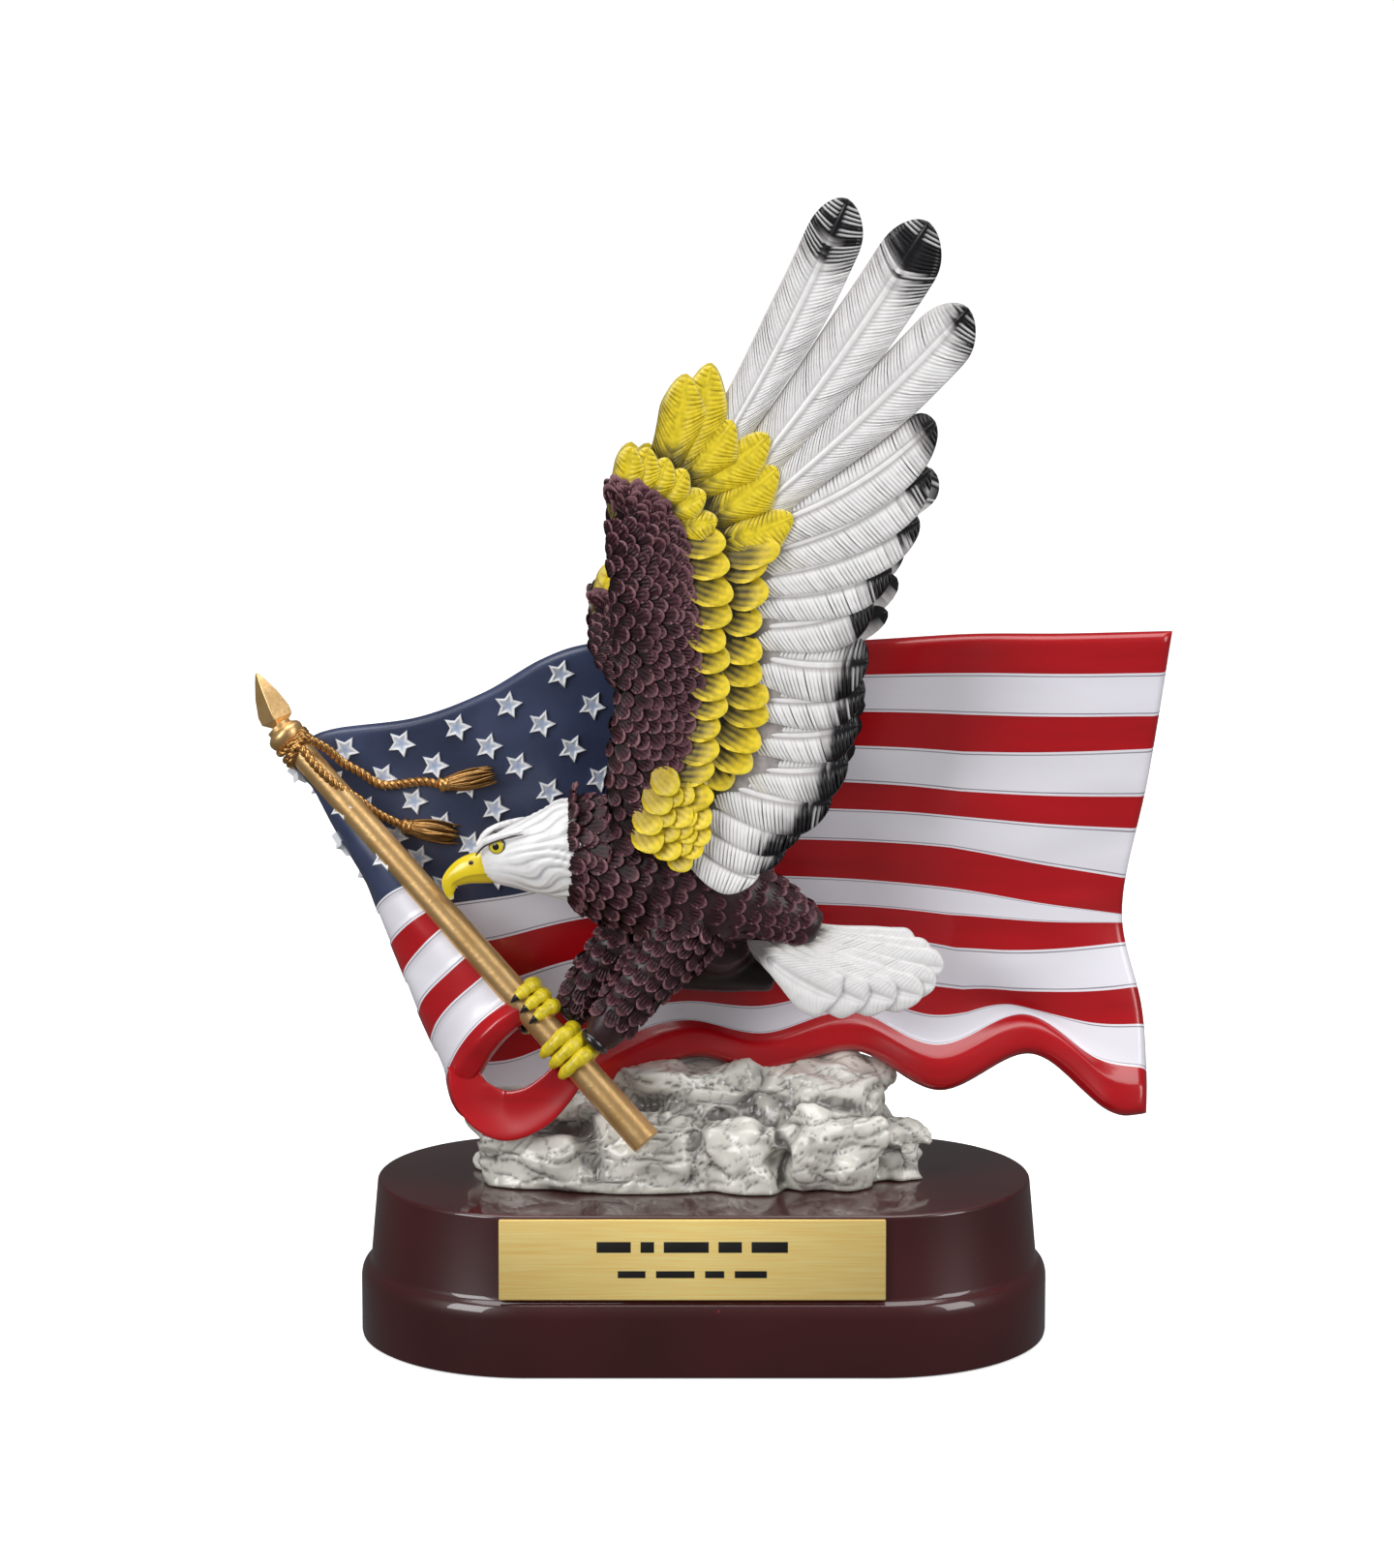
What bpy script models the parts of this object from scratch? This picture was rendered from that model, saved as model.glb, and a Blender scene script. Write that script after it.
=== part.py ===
"""Eagle trophy: a painted resin eagle on a flag and rocks, on a lacquered oval plinth with a name plate.

Metres, +Z up, +X to the viewer's right, the front faces -Y. The origin is the centre of the plinth's underside.
All sizes below are in millimetres and are turned into metres where a mesh is made.
"""

import math

import bmesh
import bpy
from mathutils import Matrix, Vector, noise

MM = 0.001
CLEARANCE = 0.3

# Plinth, an oval with straight sides and half-round ends
PLINTH_HEIGHT = 38.3
PLINTH_HALF_STRAIGHT = 41.3
PLINTH_TOP_RADIUS = 36.2
PLINTH_WAIST_RADIUS = 38.2
PLINTH_BAND_RADIUS = 40.4
PLINTH_BAND_HEIGHT = 14.0
PLINTH_SHOULDER_HEIGHT = 4.0
PLINTH_EDGE_ROUND = 0.9
PLINTH_TURN_STEPS = 36
SHOULDER_STEPS = 3

# Name plate, stuck on the sloping front of the plinth
PLATE_WIDTH = 90.0
PLATE_THICKNESS = 1.2
PLATE_OFFSET_X = -2.7
PLATE_TOP_GAP = 0.6
PLATE_FOOT_GAP = 0.8
STROKE_DEPTH = 0.3
# Each row of strokes: height above the plate's middle, stroke height, stroke widths, gap between strokes
STROKE_ROWS = (
    (3.0, 2.6, (8.0, 3.2, 10.5, 5.5, 8.5), 2.2),
    (-3.4, 1.7, (6.5, 9.0, 4.5, 7.5), 2.4),
)

# Flag pole, from the collar under the spear head down to its free end
POLE_TOP = Vector((-97.4, 8.0, 142.1))
POLE_FOOT = Vector((-13.4, -24.0, 52.8))
POLE_TOP_RADIUS = 3.1
POLE_FOOT_RADIUS = 3.7
POLE_SIDES = 12
COLLAR_RADIUS = 4.6
COLLAR_LENGTH = 2.6
SPEAR_TIP = Vector((-105.5, 11.5, 157.6))
SPEAR_HALF_WIDTH = 4.1
SPEAR_HALF_THICKNESS = 2.2

# Flag: its hoist lies on the pole, it turns back in a loop on the left and streams to the right
STRIPES = 13
FLAG_THICKNESS = 4.6
HEM_THICKNESS = 8.2
HEM_EDGE_THICKNESS = 3.4
HEM_MIDDLE = 12.55
FLAG_LEVELS = (0, 2, 4.5, 7, 9, 10.7, 12, HEM_MIDDLE, STRIPES)
FLAG_COLUMNS = 32
HOIST_START = 0.02
HOIST_END = 0.69
HOIST_BACK = 1.0

# Lines of the cloth at a number of stripes below its top edge, from the hoist to the fly
FLAG_LINES = {
    0: (
        (-97.0, 10.5, 139.0), (-93.5, 13.0, 141.5), (-87.0, 13.0, 144.0), (-68.0, 12.0, 146.8),
        (-52.0, 12.0, 152.8), (-38.0, 14.0, 160.6), (-26.0, 17.0, 163.8), (-6.0, 20.0, 164.4),
        (30.0, 20.5, 163.6), (62.0, 15.0, 166.3), (85.0, 13.0, 166.8), (110.6, 16.0, 166.8),
    ),
    3.5: (
        (-85.0, 3.5, 124.8), (-84.6, 8.0, 122.6), (-74.5, 12.2, 123.0), (-61.3, 11.6, 126.4),
        (-41.4, 12.4, 132.6), (-16.0, 16.5, 136.2), (15.0, 18.3, 135.7), (46.5, 15.6, 135.7),
        (78.0, 12.1, 134.1), (105.6, 17.3, 132.0),
    ),
    7: (
        (-72.0, -2.5, 106.0), (-75.0, 3.0, 102.5), (-73.0, 8.5, 100.8), (-66.0, 10.5, 101.6),
        (-50.0, 10.5, 104.6), (-24.0, 13.5, 108.2), (7.5, 15.5, 108.4), (35.0, 14.5, 107.7),
        (61.0, 11.5, 105.8), (81.0, 12.0, 102.5), (99.7, 17.0, 99.0),
    ),
    10: (
        (-59.0, -8.0, 90.4), (-66.0, -4.0, 84.6), (-65.5, 2.5, 79.6), (-58.5, 7.0, 76.6),
        (-48.3, 9.8, 76.9), (-28.6, 12.3, 82.7), (2.0, 12.5, 87.0), (33.0, 13.8, 88.6),
        (63.0, 11.1, 85.2), (92.0, 11.2, 78.7), (104.4, 12.2, 76.6),
    ),
    12: (
        (-52.0, -11.5, 79.0), (-57.0, -9.0, 72.5), (-59.0, -4.0, 65.5), (-57.0, 2.5, 59.5),
        (-51.0, 7.0, 57.0), (-40.0, 9.5, 59.5), (-18.0, 11.0, 70.5), (-4.0, 10.5, 74.0),
        (14.0, 8.5, 71.5), (35.0, 12.0, 76.0), (55.0, 7.0, 69.5), (76.0, 12.5, 74.5),
        (93.0, 7.5, 65.0), (105.4, 7.0, 62.5),
    ),
    13: (
        (-46.5, -14.5, 75.5), (-52.0, -13.0, 68.0), (-54.5, -8.5, 60.5), (-52.5, -2.5, 53.0),
        (-47.0, 2.0, 49.0), (-38.0, 3.5, 51.0), (-18.0, 4.5, 60.5), (-2.0, 4.5, 66.5),
        (15.0, 2.0, 63.5), (36.0, 5.5, 67.8), (56.0, 0.0, 59.5), (78.0, 6.0, 67.0),
        (96.0, -1.0, 55.0), (105.0, 0.0, 53.5),
    ),
}

# Rocks: centre, half sizes, turn about Z and fineness of each boulder
ROCKS = (
    ((-3.0, 4.0, 44.0), (50.0, 16.0, 14.5), 0.0, 2),
    ((-34.0, -4.0, 44.5), (20.5, 12.5, 8.5), -8.0, 3),
    ((-13.0, -8.0, 46.5), (16.0, 10.5, 11.0), 6.0, 3),
    ((7.0, -9.0, 45.0), (12.5, 10.0, 11.0), -10.0, 3),
    ((30.0, -8.0, 46.5), (12.5, 10.5, 11.5), 12.0, 3),
    ((28.0, 4.0, 56.0), (16.5, 13.0, 10.5), -14.0, 2),
    ((1.0, 6.0, 55.5), (23.0, 12.0, 10.5), 9.0, 2),
    ((44.0, 1.5, 41.5), (7.2, 9.0, 7.2), 15.0, 2),
)
ROCK_ROUGHNESS = 0.3
ROCK_GRAIN = 1.7
ROCK_SQUARENESS = 0.55
# Each boulder reads the noise at its own place, this much further on
ROCK_NOISE_STEP = Vector((5.3, 0.0, 0.0))
ROCK_NOISE_START = Vector((0.0, 1.7, 0.4))
# The trim under the rocks is as wide and as deep as this, past the whole casting
TRIM_SIZE = (300.0, 200.0)

# Gilt cord knotted under the spear head, with two tassels that lie on the flag
CORD_RADIUS = 1.1
CORD_STEPS = 9
CORDS = (
    ((-92.5, 2.6, 143.5), (-88.3, 5.0, 140.4), (-85.1, 7.0, 137.0), (-81.0, 8.0, 134.4), (-77.4, 8.6, 131.8),
     (-74.0, 8.8, 131.2), (-66.4, 9.0, 132.0), (-61.0, 8.8, 131.0)),
    ((-94.5, 2.2, 141.5), (-91.3, 1.4, 137.5), (-88.2, 1.2, 134.4), (-85.2, 2.0, 131.8), (-81.6, 3.6, 129.0),
     (-77.5, 6.0, 125.2), (-73.0, 8.0, 122.4), (-70.0, 8.4, 121.2)),
)
TASSELS = (
    ((-62.0, 8.6, 131.2), (-48.9, 8.4, 133.9), 2.8),
    ((-71.0, 8.2, 121.4), (-57.5, 8.4, 119.2), 3.0),
)

# Feet: their places along the pole, as shares of its length
FEET = (0.669, 0.779)
TOES = 3
TOE_RADIUS = 1.9
TOE_SPACING = 3.3
TOE_STEPS = 5
TOE_TURN = (-60.0, 168.0)
HIND_TOE_TURN = (-50.0, -186.0)

# Eagle: centre and radius along each rounded mass, all about the plane of its spine
SPINE_Y = -9.0
BODY = (
    ((-27.0, SPINE_Y, 119.5), 12.4), ((-16.0, SPINE_Y, 115.5), 15.5), ((-2.0, SPINE_Y, 110.5), 14.5),
    ((12.0, SPINE_Y, 106.5), 9.6), ((22.0, SPINE_Y, 103.0), 6.6), ((30.0, SPINE_Y, 100.0), 4.4),
)
HEAD = (
    ((-20.0, SPINE_Y, 118.5), 10.5), ((-29.5, SPINE_Y, 119.6), 12.2), ((-36.0, SPINE_Y, 118.8), 10.4),
    ((-43.0, SPINE_Y, 117.9), 8.0), ((-49.0, SPINE_Y, 116.8), 5.6), ((-51.5, SPINE_Y, 116.2), 3.6),
)
BEAK = (
    ((-46.0, SPINE_Y, 115.2), 4.0), ((-51.0, SPINE_Y, 115.2), 4.1), ((-55.5, SPINE_Y, 114.4), 3.5),
    ((-59.0, SPINE_Y, 112.2), 2.3), ((-59.6, SPINE_Y, 109.6), 1.3), ((-59.0, SPINE_Y, 107.6), 0.5),
)
NEAR_LEG = (
    ((-3.0, -13.0, 103.0), 9.5), ((-9.0, -15.0, 96.0), 8.6), ((-16.0, -17.0, 87.5), 6.8),
    ((-22.5, -18.0, 79.0), 5.2), ((-25.5, -18.2, 75.6), 3.6),
)
FAR_LEG = (
    ((-12.0, -4.0, 105.0), 9.0), ((-19.0, -6.0, 97.0), 7.0), ((-26.0, -8.5, 88.5), 5.4),
    ((-30.5, -10.0, 82.0), 4.4), ((-32.0, -10.5, 80.5), 3.0),
)
BELLY_SUPPORT = (((4.0, -7.0, 98.0), 8.5), ((4.0, 0.0, 93.5), 8.5), ((4.0, 9.4, 91.0), 7.5))
EYE_X = -48.2
EYE_Z = 121.4
EYE_SPREAD = 3.9
EYE_RADIUS = 1.7
BODY_FLATNESS = 0.86
BEAK_FLATNESS = 0.7
FEATHER_BUMP = 0.055

# Tail: feathers fanned from a root
TAIL_ROOT = Vector((24.0, SPINE_Y, 101.0))
TAIL_TIPS = (
    (30.0, -14.5, 82.5), (38.5, -14.5, 81.0), (46.5, -13.5, 82.0), (52.5, -12.0, 85.5),
    (56.0, -10.0, 90.0), (54.0, -7.5, 95.5), (47.5, -5.5, 99.2),
)
TAIL_FEATHER_WIDTH = 9.5
TAIL_FEATHER_THICKNESS = 1.2

# Wing: tips of the flight feathers from the first primary to the last tertial, as X and Z
FLIGHT_TIPS = (
    (32.6, 273.6), (51.0, 268.3), (60.2, 248.6), (54.6, 223.6), (53.2, 210.8),
    (50.4, 197.8), (44.6, 185.4), (41.0, 175.5), (38.8, 165.3), (37.8, 155.5),
    (36.8, 147.0), (33.5, 137.5), (29.0, 128.6), (23.5, 120.8), (16.5, 115.5),
)
# The wing's trailing edge runs on past the last tip by this much, down to the body
LAST_TIP_STEP = Vector((-6.0, -3.0))
# The first three primaries stand apart like fingers
FINGER_ROOTS = ((-7.0, 199.0), (4.0, 198.5), (6.0, 204.0))
FINGER_WIDTHS = (13.4, 15.6, 15.6)
FINGER_THICKNESS = 1.4
FINGER_BOW = -1.2
FINGER_Y_STEP = 0.6
# Edges of the tiers across the wing, from the first primary to the last tertial, as X and Z
LEADING_EDGE = (
    (-20.5, 204.6), (-21.6, 201.0), (-22.0, 191.0), (-20.8, 176.0), (-20.0, 160.0), (-22.0, 143.0), (-22.0, 120.0),
)
BROWN_EDGE = (
    (-19.5, 206.5), (-9.0, 203.5), (-3.6, 192.5), (-1.6, 179.0), (-1.2, 160.0), (-5.0, 144.0), (-14.0, 127.0),
)
INNER_COVERTS = (
    (-14.0, 218.0), (-1.0, 207.5), (4.8, 195.0), (6.8, 180.0), (6.3, 160.0), (2.0, 144.5), (-9.0, 124.5),
)
OUTER_COVERTS = (
    (-6.5, 231.5), (13.5, 220.0), (19.6, 200.0), (15.8, 181.0), (16.2, 159.0), (12.2, 141.5), (-2.0, 119.0),
)
WING_MID_Y = -19.0
WING_CURL = 3.0
# Skin of the wing: place across the tiers, from 0 at the leading edge to 4 at the tips, and height
NEAR_WING_SKIN = (
    (0.3, 5.4), (1.0, 4.6), (1.05, 3.2), (2.0, 3.9), (2.05, 2.3), (3.0, 3.0), (3.05, 1.4), (4.0, 0.9),
    (4.0, -0.5), (0.6, -4.0), (0.0, -0.5),
)
FAR_WING_SKIN = (
    (0.2, 4.6), (1.0, 4.6), (1.1, 3.2), (2.0, 3.6), (3.0, 2.8), (4.0, 0.9), (4.0, -0.5), (0.6, -4.0), (0.0, -0.5),
)
NEAR_WING_CUTS = (0.03, 0.28, 0.72, 0.97)
FAR_WING_CUTS = (0.1, 0.9)
SHINGLE_STEP = 0.9
NOTCHES = (0.0, 0.10, 0.35, 0.30, 0.16)
FINGER_NOTCH = 0.4
SHOULDER = Vector((-20.0, -19.0, 118.0))

# The far wing is the near one turned over: smaller, and leaning back as it rises
FAR_SHOULDER = Vector((-24.7, 4.5, 118.0))
FAR_SCALE = Vector((0.98, 0.85, 0.66))
FAR_LEAN = 0.0024

COLOURS = {
    "mahogany_lacquer": ((0.060, 0.012, 0.012), 0.12, 0.0),
    "brushed_brass": ((0.72, 0.50, 0.20), 0.35, 0.9),
    "painted_flag": ((0.62, 0.04, 0.05), 0.30, 0.0),
    "painted_eagle": ((0.09, 0.045, 0.045), 0.45, 0.0),
}


def clear_scene():
    for obj in list(bpy.data.objects):
        bpy.data.objects.remove(obj)


def make_collection(name):
    collection = bpy.data.collections.new(name)
    bpy.context.scene.collection.children.link(collection)
    return collection


def paint(obj, name):
    colour, roughness, metallic = COLOURS[name]
    mat = bpy.data.materials.new(name)
    mat.use_nodes = True
    shader = mat.node_tree.nodes["Principled BSDF"]
    shader.inputs["Base Color"].default_value = (*colour, 1.0)
    shader.inputs["Roughness"].default_value = roughness
    shader.inputs["Metallic"].default_value = metallic
    obj.data.materials.clear()
    obj.data.materials.append(mat)


def hide_helper(obj):
    obj.hide_render = True
    obj.display_type = "WIRE"


def add_mesh(name, bm, collection):
    """A mesh in millimetres becomes an object in metres, with its faces pointing out."""
    bmesh.ops.recalc_face_normals(bm, faces=bm.faces)
    bm.transform(Matrix.Scale(MM, 4))
    mesh = bpy.data.meshes.new(name)
    bm.to_mesh(mesh)
    bm.free()
    obj = bpy.data.objects.new(name, mesh)
    collection.objects.link(obj)
    return obj


def evaluated_copy(obj, name, collection):
    """An object's modifiers or bevel turned into a plain welded mesh, which takes the object's place."""
    bpy.context.view_layer.update()
    depsgraph = bpy.context.evaluated_depsgraph_get()
    mesh = bpy.data.meshes.new_from_object(obj.evaluated_get(depsgraph))
    mesh.transform(obj.matrix_world)
    bpy.data.objects.remove(obj)
    bm = bmesh.new()
    bm.from_mesh(mesh)
    bmesh.ops.remove_doubles(bm, verts=bm.verts, dist=0.001 * MM)
    bmesh.ops.recalc_face_normals(bm, faces=bm.faces)
    bm.to_mesh(mesh)
    bm.free()
    copy = bpy.data.objects.new(name, mesh)
    collection.objects.link(copy)
    return copy


def spline(points, t):
    """A smooth curve through the points, with t from 0 at the first to 1 at the last."""
    spans = len(points) - 1
    place = min(max(t, 0.0), 1.0) * spans
    i = min(int(place), spans - 1)
    f = place - i
    b, c = Vector(points[i]), Vector(points[i + 1])
    a = Vector(points[i - 1]) if i > 0 else b * 2 - c
    d = Vector(points[i + 2]) if i + 2 <= spans else c * 2 - b
    return 0.5 * (2 * b + (c - a) * f + (2 * a - 5 * b + 4 * c - d) * f**2 + (3 * b - a - 3 * c + d) * f**3)


def even_points(points, count, fine=400):
    """Points at equal steps of length along the smooth curve through the given points."""
    dense = [spline(points, i / fine) for i in range(fine + 1)]
    reach = [0.0]
    for a, b in zip(dense, dense[1:]):
        reach.append(reach[-1] + (b - a).length)
    found, j = [], 0
    for i in range(count):
        want = reach[-1] * i / (count - 1)
        while j < fine - 1 and reach[j + 1] < want:
            j += 1
        share = (want - reach[j]) / max(reach[j + 1] - reach[j], 1e-9)
        found.append(dense[j].lerp(dense[j + 1], share))
    return found


def loft(name, rings, collection):
    """A closed solid through rings of points of equal count, capped at both ends."""
    bm = bmesh.new()
    made = [[bm.verts.new(p) for p in ring] for ring in rings]
    count = len(rings[0])
    for a, b in zip(made, made[1:]):
        for i in range(count):
            j = (i + 1) % count
            bm.faces.new((a[i], a[j], b[j], b[i]))
    bm.faces.new(made[0])
    bm.faces.new(made[-1])
    return add_mesh(name, bm, collection)


def tube(name, line, radii, sides, collection):
    """A round tube with a radius at each point, as a bevelled curve turned into a mesh."""
    curve = bpy.data.curves.new(name, "CURVE")
    curve.dimensions = "3D"
    curve.bevel_depth = MM
    curve.bevel_resolution = sides // 2 - 2
    curve.use_fill_caps = True
    path = curve.splines.new("POLY")
    path.points.add(len(line) - 1)
    for point, place, radius in zip(path.points, line, radii):
        point.co = (*(place * MM), 1.0)
        point.radius = radius
    source = bpy.data.objects.new(name + "_line", curve)
    bpy.context.scene.collection.objects.link(source)
    return evaluated_copy(source, name, collection)


def make_plinth(collection):
    """A turned profile whose two halves are drawn apart, which leaves straight sides between round ends."""
    waist_z = PLINTH_BAND_HEIGHT + PLINTH_SHOULDER_HEIGHT
    profile = [
        (PLINTH_TOP_RADIUS - PLINTH_EDGE_ROUND, PLINTH_HEIGHT),
        (PLINTH_TOP_RADIUS - PLINTH_EDGE_ROUND * 0.3, PLINTH_HEIGHT - PLINTH_EDGE_ROUND * 0.3),
        (PLINTH_TOP_RADIUS, PLINTH_HEIGHT - PLINTH_EDGE_ROUND),
        (PLINTH_WAIST_RADIUS, waist_z),
    ]
    for step in range(1, SHOULDER_STEPS + 1):
        angle = math.pi / 2 * step / SHOULDER_STEPS
        radius = PLINTH_WAIST_RADIUS + (PLINTH_BAND_RADIUS - PLINTH_WAIST_RADIUS) * math.sin(angle)
        profile.append((radius, waist_z - PLINTH_SHOULDER_HEIGHT * (1 - math.cos(angle))))
    profile.append((PLINTH_BAND_RADIUS, PLINTH_EDGE_ROUND))
    profile.append((PLINTH_BAND_RADIUS - PLINTH_EDGE_ROUND, 0.0))

    half_step = Matrix.Rotation(math.pi / PLINTH_TURN_STEPS, 3, "Z")
    mesh = bpy.data.meshes.new("plinth_profile")
    mesh.from_pydata([half_step @ Vector((r, 0.0, z)) * MM for r, z in profile],
                     [(i, i + 1) for i in range(len(profile) - 1)], [])
    source = bpy.data.objects.new("plinth_profile", mesh)
    bpy.context.scene.collection.objects.link(source)
    turn = source.modifiers.new("turn", "SCREW")
    turn.steps = turn.render_steps = PLINTH_TURN_STEPS
    turn.use_merge_vertices = True
    turn.merge_threshold = 0.01 * MM
    plinth = evaluated_copy(source, "plinth", collection)

    bm = bmesh.new()
    bm.from_mesh(plinth.data)
    for v in bm.verts:
        v.co.x += math.copysign(PLINTH_HALF_STRAIGHT * MM, v.co.x)
    bmesh.ops.holes_fill(bm, edges=bm.edges, sides=0)
    bmesh.ops.recalc_face_normals(bm, faces=bm.faces)
    bm.to_mesh(plinth.data)
    bm.free()
    paint(plinth, "mahogany_lacquer")


def plate_seat():
    """The plate's place on the plinth's front, turned to lie on its slope, and the height that fits there."""
    waist_z = PLINTH_BAND_HEIGHT + PLINTH_SHOULDER_HEIGHT
    edge_z = PLINTH_HEIGHT - PLINTH_EDGE_ROUND
    slope = math.atan2(PLINTH_WAIST_RADIUS - PLINTH_TOP_RADIUS, edge_z - waist_z)
    foot_z = waist_z + PLATE_FOOT_GAP
    head_z = PLINTH_HEIGHT - PLATE_TOP_GAP
    middle_z = (foot_z + head_z) / 2
    wall_y = -(PLINTH_TOP_RADIUS + (edge_z - middle_z) * math.tan(slope))
    place = Matrix.Translation((PLATE_OFFSET_X, wall_y, middle_z)) @ Matrix.Rotation(-slope, 4, "X")
    return place, (head_z - foot_z) / math.cos(slope)


def add_box(bm, place, middle, size):
    made = bmesh.ops.create_cube(bm, size=1.0)["verts"]
    box = place @ Matrix.Translation(middle) @ Matrix.Diagonal((*size, 1.0))
    bmesh.ops.transform(bm, matrix=box, verts=made)


def make_plate(collection, helpers):
    place, plate_height = plate_seat()
    bm = bmesh.new()
    add_box(bm, place, (0, -CLEARANCE - PLATE_THICKNESS / 2, 0), (PLATE_WIDTH, PLATE_THICKNESS, plate_height))
    plate = add_mesh("name_plate", bm, collection)
    paint(plate, "brushed_brass")
    bm = bmesh.new()
    for height, tall, widths, gap in STROKE_ROWS:
        x = -(sum(widths) + gap * (len(widths) - 1)) / 2
        for wide in widths:
            add_box(bm, place, (x + wide / 2, -CLEARANCE - PLATE_THICKNESS, height), (wide, STROKE_DEPTH * 2, tall))
            x += wide + gap
    strokes = add_mesh("stroke_cutters", bm, helpers)
    hide_helper(strokes)
    cut = plate.modifiers.new("strokes", "BOOLEAN")
    cut.operation = "DIFFERENCE"
    cut.object = strokes


def flag_line(level):
    """The cloth's line at a number of stripes below its top edge, smooth between the known lines."""
    known = sorted(FLAG_LINES)
    lines = []
    for k in known:
        share = HOIST_START + (HOIST_END - HOIST_START) * k / STRIPES
        start = POLE_TOP.lerp(POLE_FOOT, share) + Vector((0.0, HOIST_BACK, 0.0))
        lines.append(even_points([start, *FLAG_LINES[k]], FLAG_COLUMNS))
    slopes = []
    for n in range(len(known)):
        lo, hi = max(n - 1, 0), min(n + 1, len(known) - 1)
        slopes.append([(b - a) / (known[hi] - known[lo]) for a, b in zip(lines[lo], lines[hi])])
    n = max(i for i, k in enumerate(known[:-1]) if k <= level)
    gap = known[n + 1] - known[n]
    f = (level - known[n]) / gap
    at_top, out_of_top = 2 * f**3 - 3 * f**2 + 1, (f**3 - 2 * f**2 + f) * gap
    at_foot, into_foot = -2 * f**3 + 3 * f**2, (f**3 - f**2) * gap
    return [
        at_top * a + out_of_top * slope_a + at_foot * b + into_foot * slope_b
        for a, slope_a, b, slope_b in zip(lines[n], slopes[n], lines[n + 1], slopes[n + 1])
    ]


def make_flag(collection):
    """The cloth as an open surface that Solidify thickens, with a rolled hem along its bottom edge."""
    bm = bmesh.new()
    group = bm.verts.layers.deform.new()
    grid = []
    for level in FLAG_LEVELS:
        thickness = FLAG_THICKNESS
        if level == HEM_MIDDLE:
            thickness = HEM_THICKNESS
        if level == STRIPES:
            thickness = HEM_EDGE_THICKNESS
        row = [bm.verts.new(p) for p in flag_line(level)]
        for v in row:
            v[group][0] = thickness / HEM_THICKNESS
        grid.append(row)
    for a, b in zip(grid, grid[1:]):
        for i in range(FLAG_COLUMNS - 1):
            bm.faces.new((a[i], a[i + 1], b[i + 1], b[i]))
    cloth = add_mesh("cloth", bm, collection)
    cloth.vertex_groups.new(name="thickness")
    solid = cloth.modifiers.new("solid", "SOLIDIFY")
    solid.thickness = HEM_THICKNESS * MM
    solid.offset = 0.0
    solid.vertex_group = "thickness"
    return cloth


def make_rock(index, centre, half, turn, fineness, collection):
    """One boulder: a ball pulled towards a box and roughened."""
    bm = bmesh.new()
    bmesh.ops.create_icosphere(bm, subdivisions=fineness, radius=1.0)
    for v in bm.verts:
        p = v.co.normalized()
        rough = noise.noise(p * ROCK_GRAIN + ROCK_NOISE_STEP * index + ROCK_NOISE_START)
        v.co = p / max(abs(p.x), abs(p.y), abs(p.z))**ROCK_SQUARENESS * (1.0 + ROCK_ROUGHNESS * rough)
    bm.transform(Matrix.Translation(centre) @ Matrix.Rotation(math.radians(turn), 4, "Z") @ Matrix.Diagonal((*half, 1)))
    return add_mesh(f"boulder_{index}", bm, collection)


def pole_axes():
    """The pole's direction, and two directions across it: towards the viewer, and up to the right."""
    along = (POLE_FOOT - POLE_TOP).normalized()
    front = Vector((0.0, -1.0, 0.0))
    front = (front - along * along.dot(front)).normalized()
    side = front.cross(along).normalized()
    return along, front, side if side.z > 0 else -side


def make_pole(collection):
    """The pole with its collar, and the four-sided spear head above it."""
    along, front, side = pole_axes()
    line = [POLE_FOOT, POLE_TOP, POLE_TOP - along, POLE_TOP - along * COLLAR_LENGTH, POLE_TOP - along * 4.4]
    radii = [POLE_FOOT_RADIUS, POLE_TOP_RADIUS, COLLAR_RADIUS, COLLAR_RADIUS, POLE_TOP_RADIUS * 0.6]
    pole = tube("pole_bar", line, radii, POLE_SIDES, collection)
    base = POLE_TOP - along * COLLAR_LENGTH
    reach = SPEAR_TIP - base
    across = front.cross(reach).normalized()
    rings = []
    for share, wide in ((0.0, 0.35), (0.22, 0.75), (0.38, 1.0), (0.62, 0.78), (0.85, 0.40), (1.0, 0.08)):
        centre = base + reach * share
        out = across * SPEAR_HALF_WIDTH * wide
        through = front * SPEAR_HALF_THICKNESS * max(wide, 0.25)
        rings.append([centre + out, centre + through, centre - out, centre - through])
    return [pole, loft("spear_head", rings, collection)]


def make_cords(collection):
    made = []
    for i, points in enumerate(CORDS):
        line = even_points(points, CORD_STEPS)
        made.append(tube(f"cord_{i}", line, [CORD_RADIUS] * CORD_STEPS, 6, collection))
    swell = (0.45, 0.62, 0.78, 0.93, 1.0, 0.8)
    for i, (start, end, size) in enumerate(TASSELS):
        line = even_points((start, end), len(swell))
        made.append(tube(f"tassel_{i}", line, [size * share for share in swell], 8, collection))
    return made


def toe_line(middle, start, end, grip):
    """Points round the pole, between two angles in degrees from the leg's side."""
    _, front, side = pole_axes()
    line = []
    for step in range(TOE_STEPS):
        angle = math.radians(start + (end - start) * step / (TOE_STEPS - 1))
        line.append(middle + (side * math.cos(angle) + front * math.sin(angle)) * grip)
    return line


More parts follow.
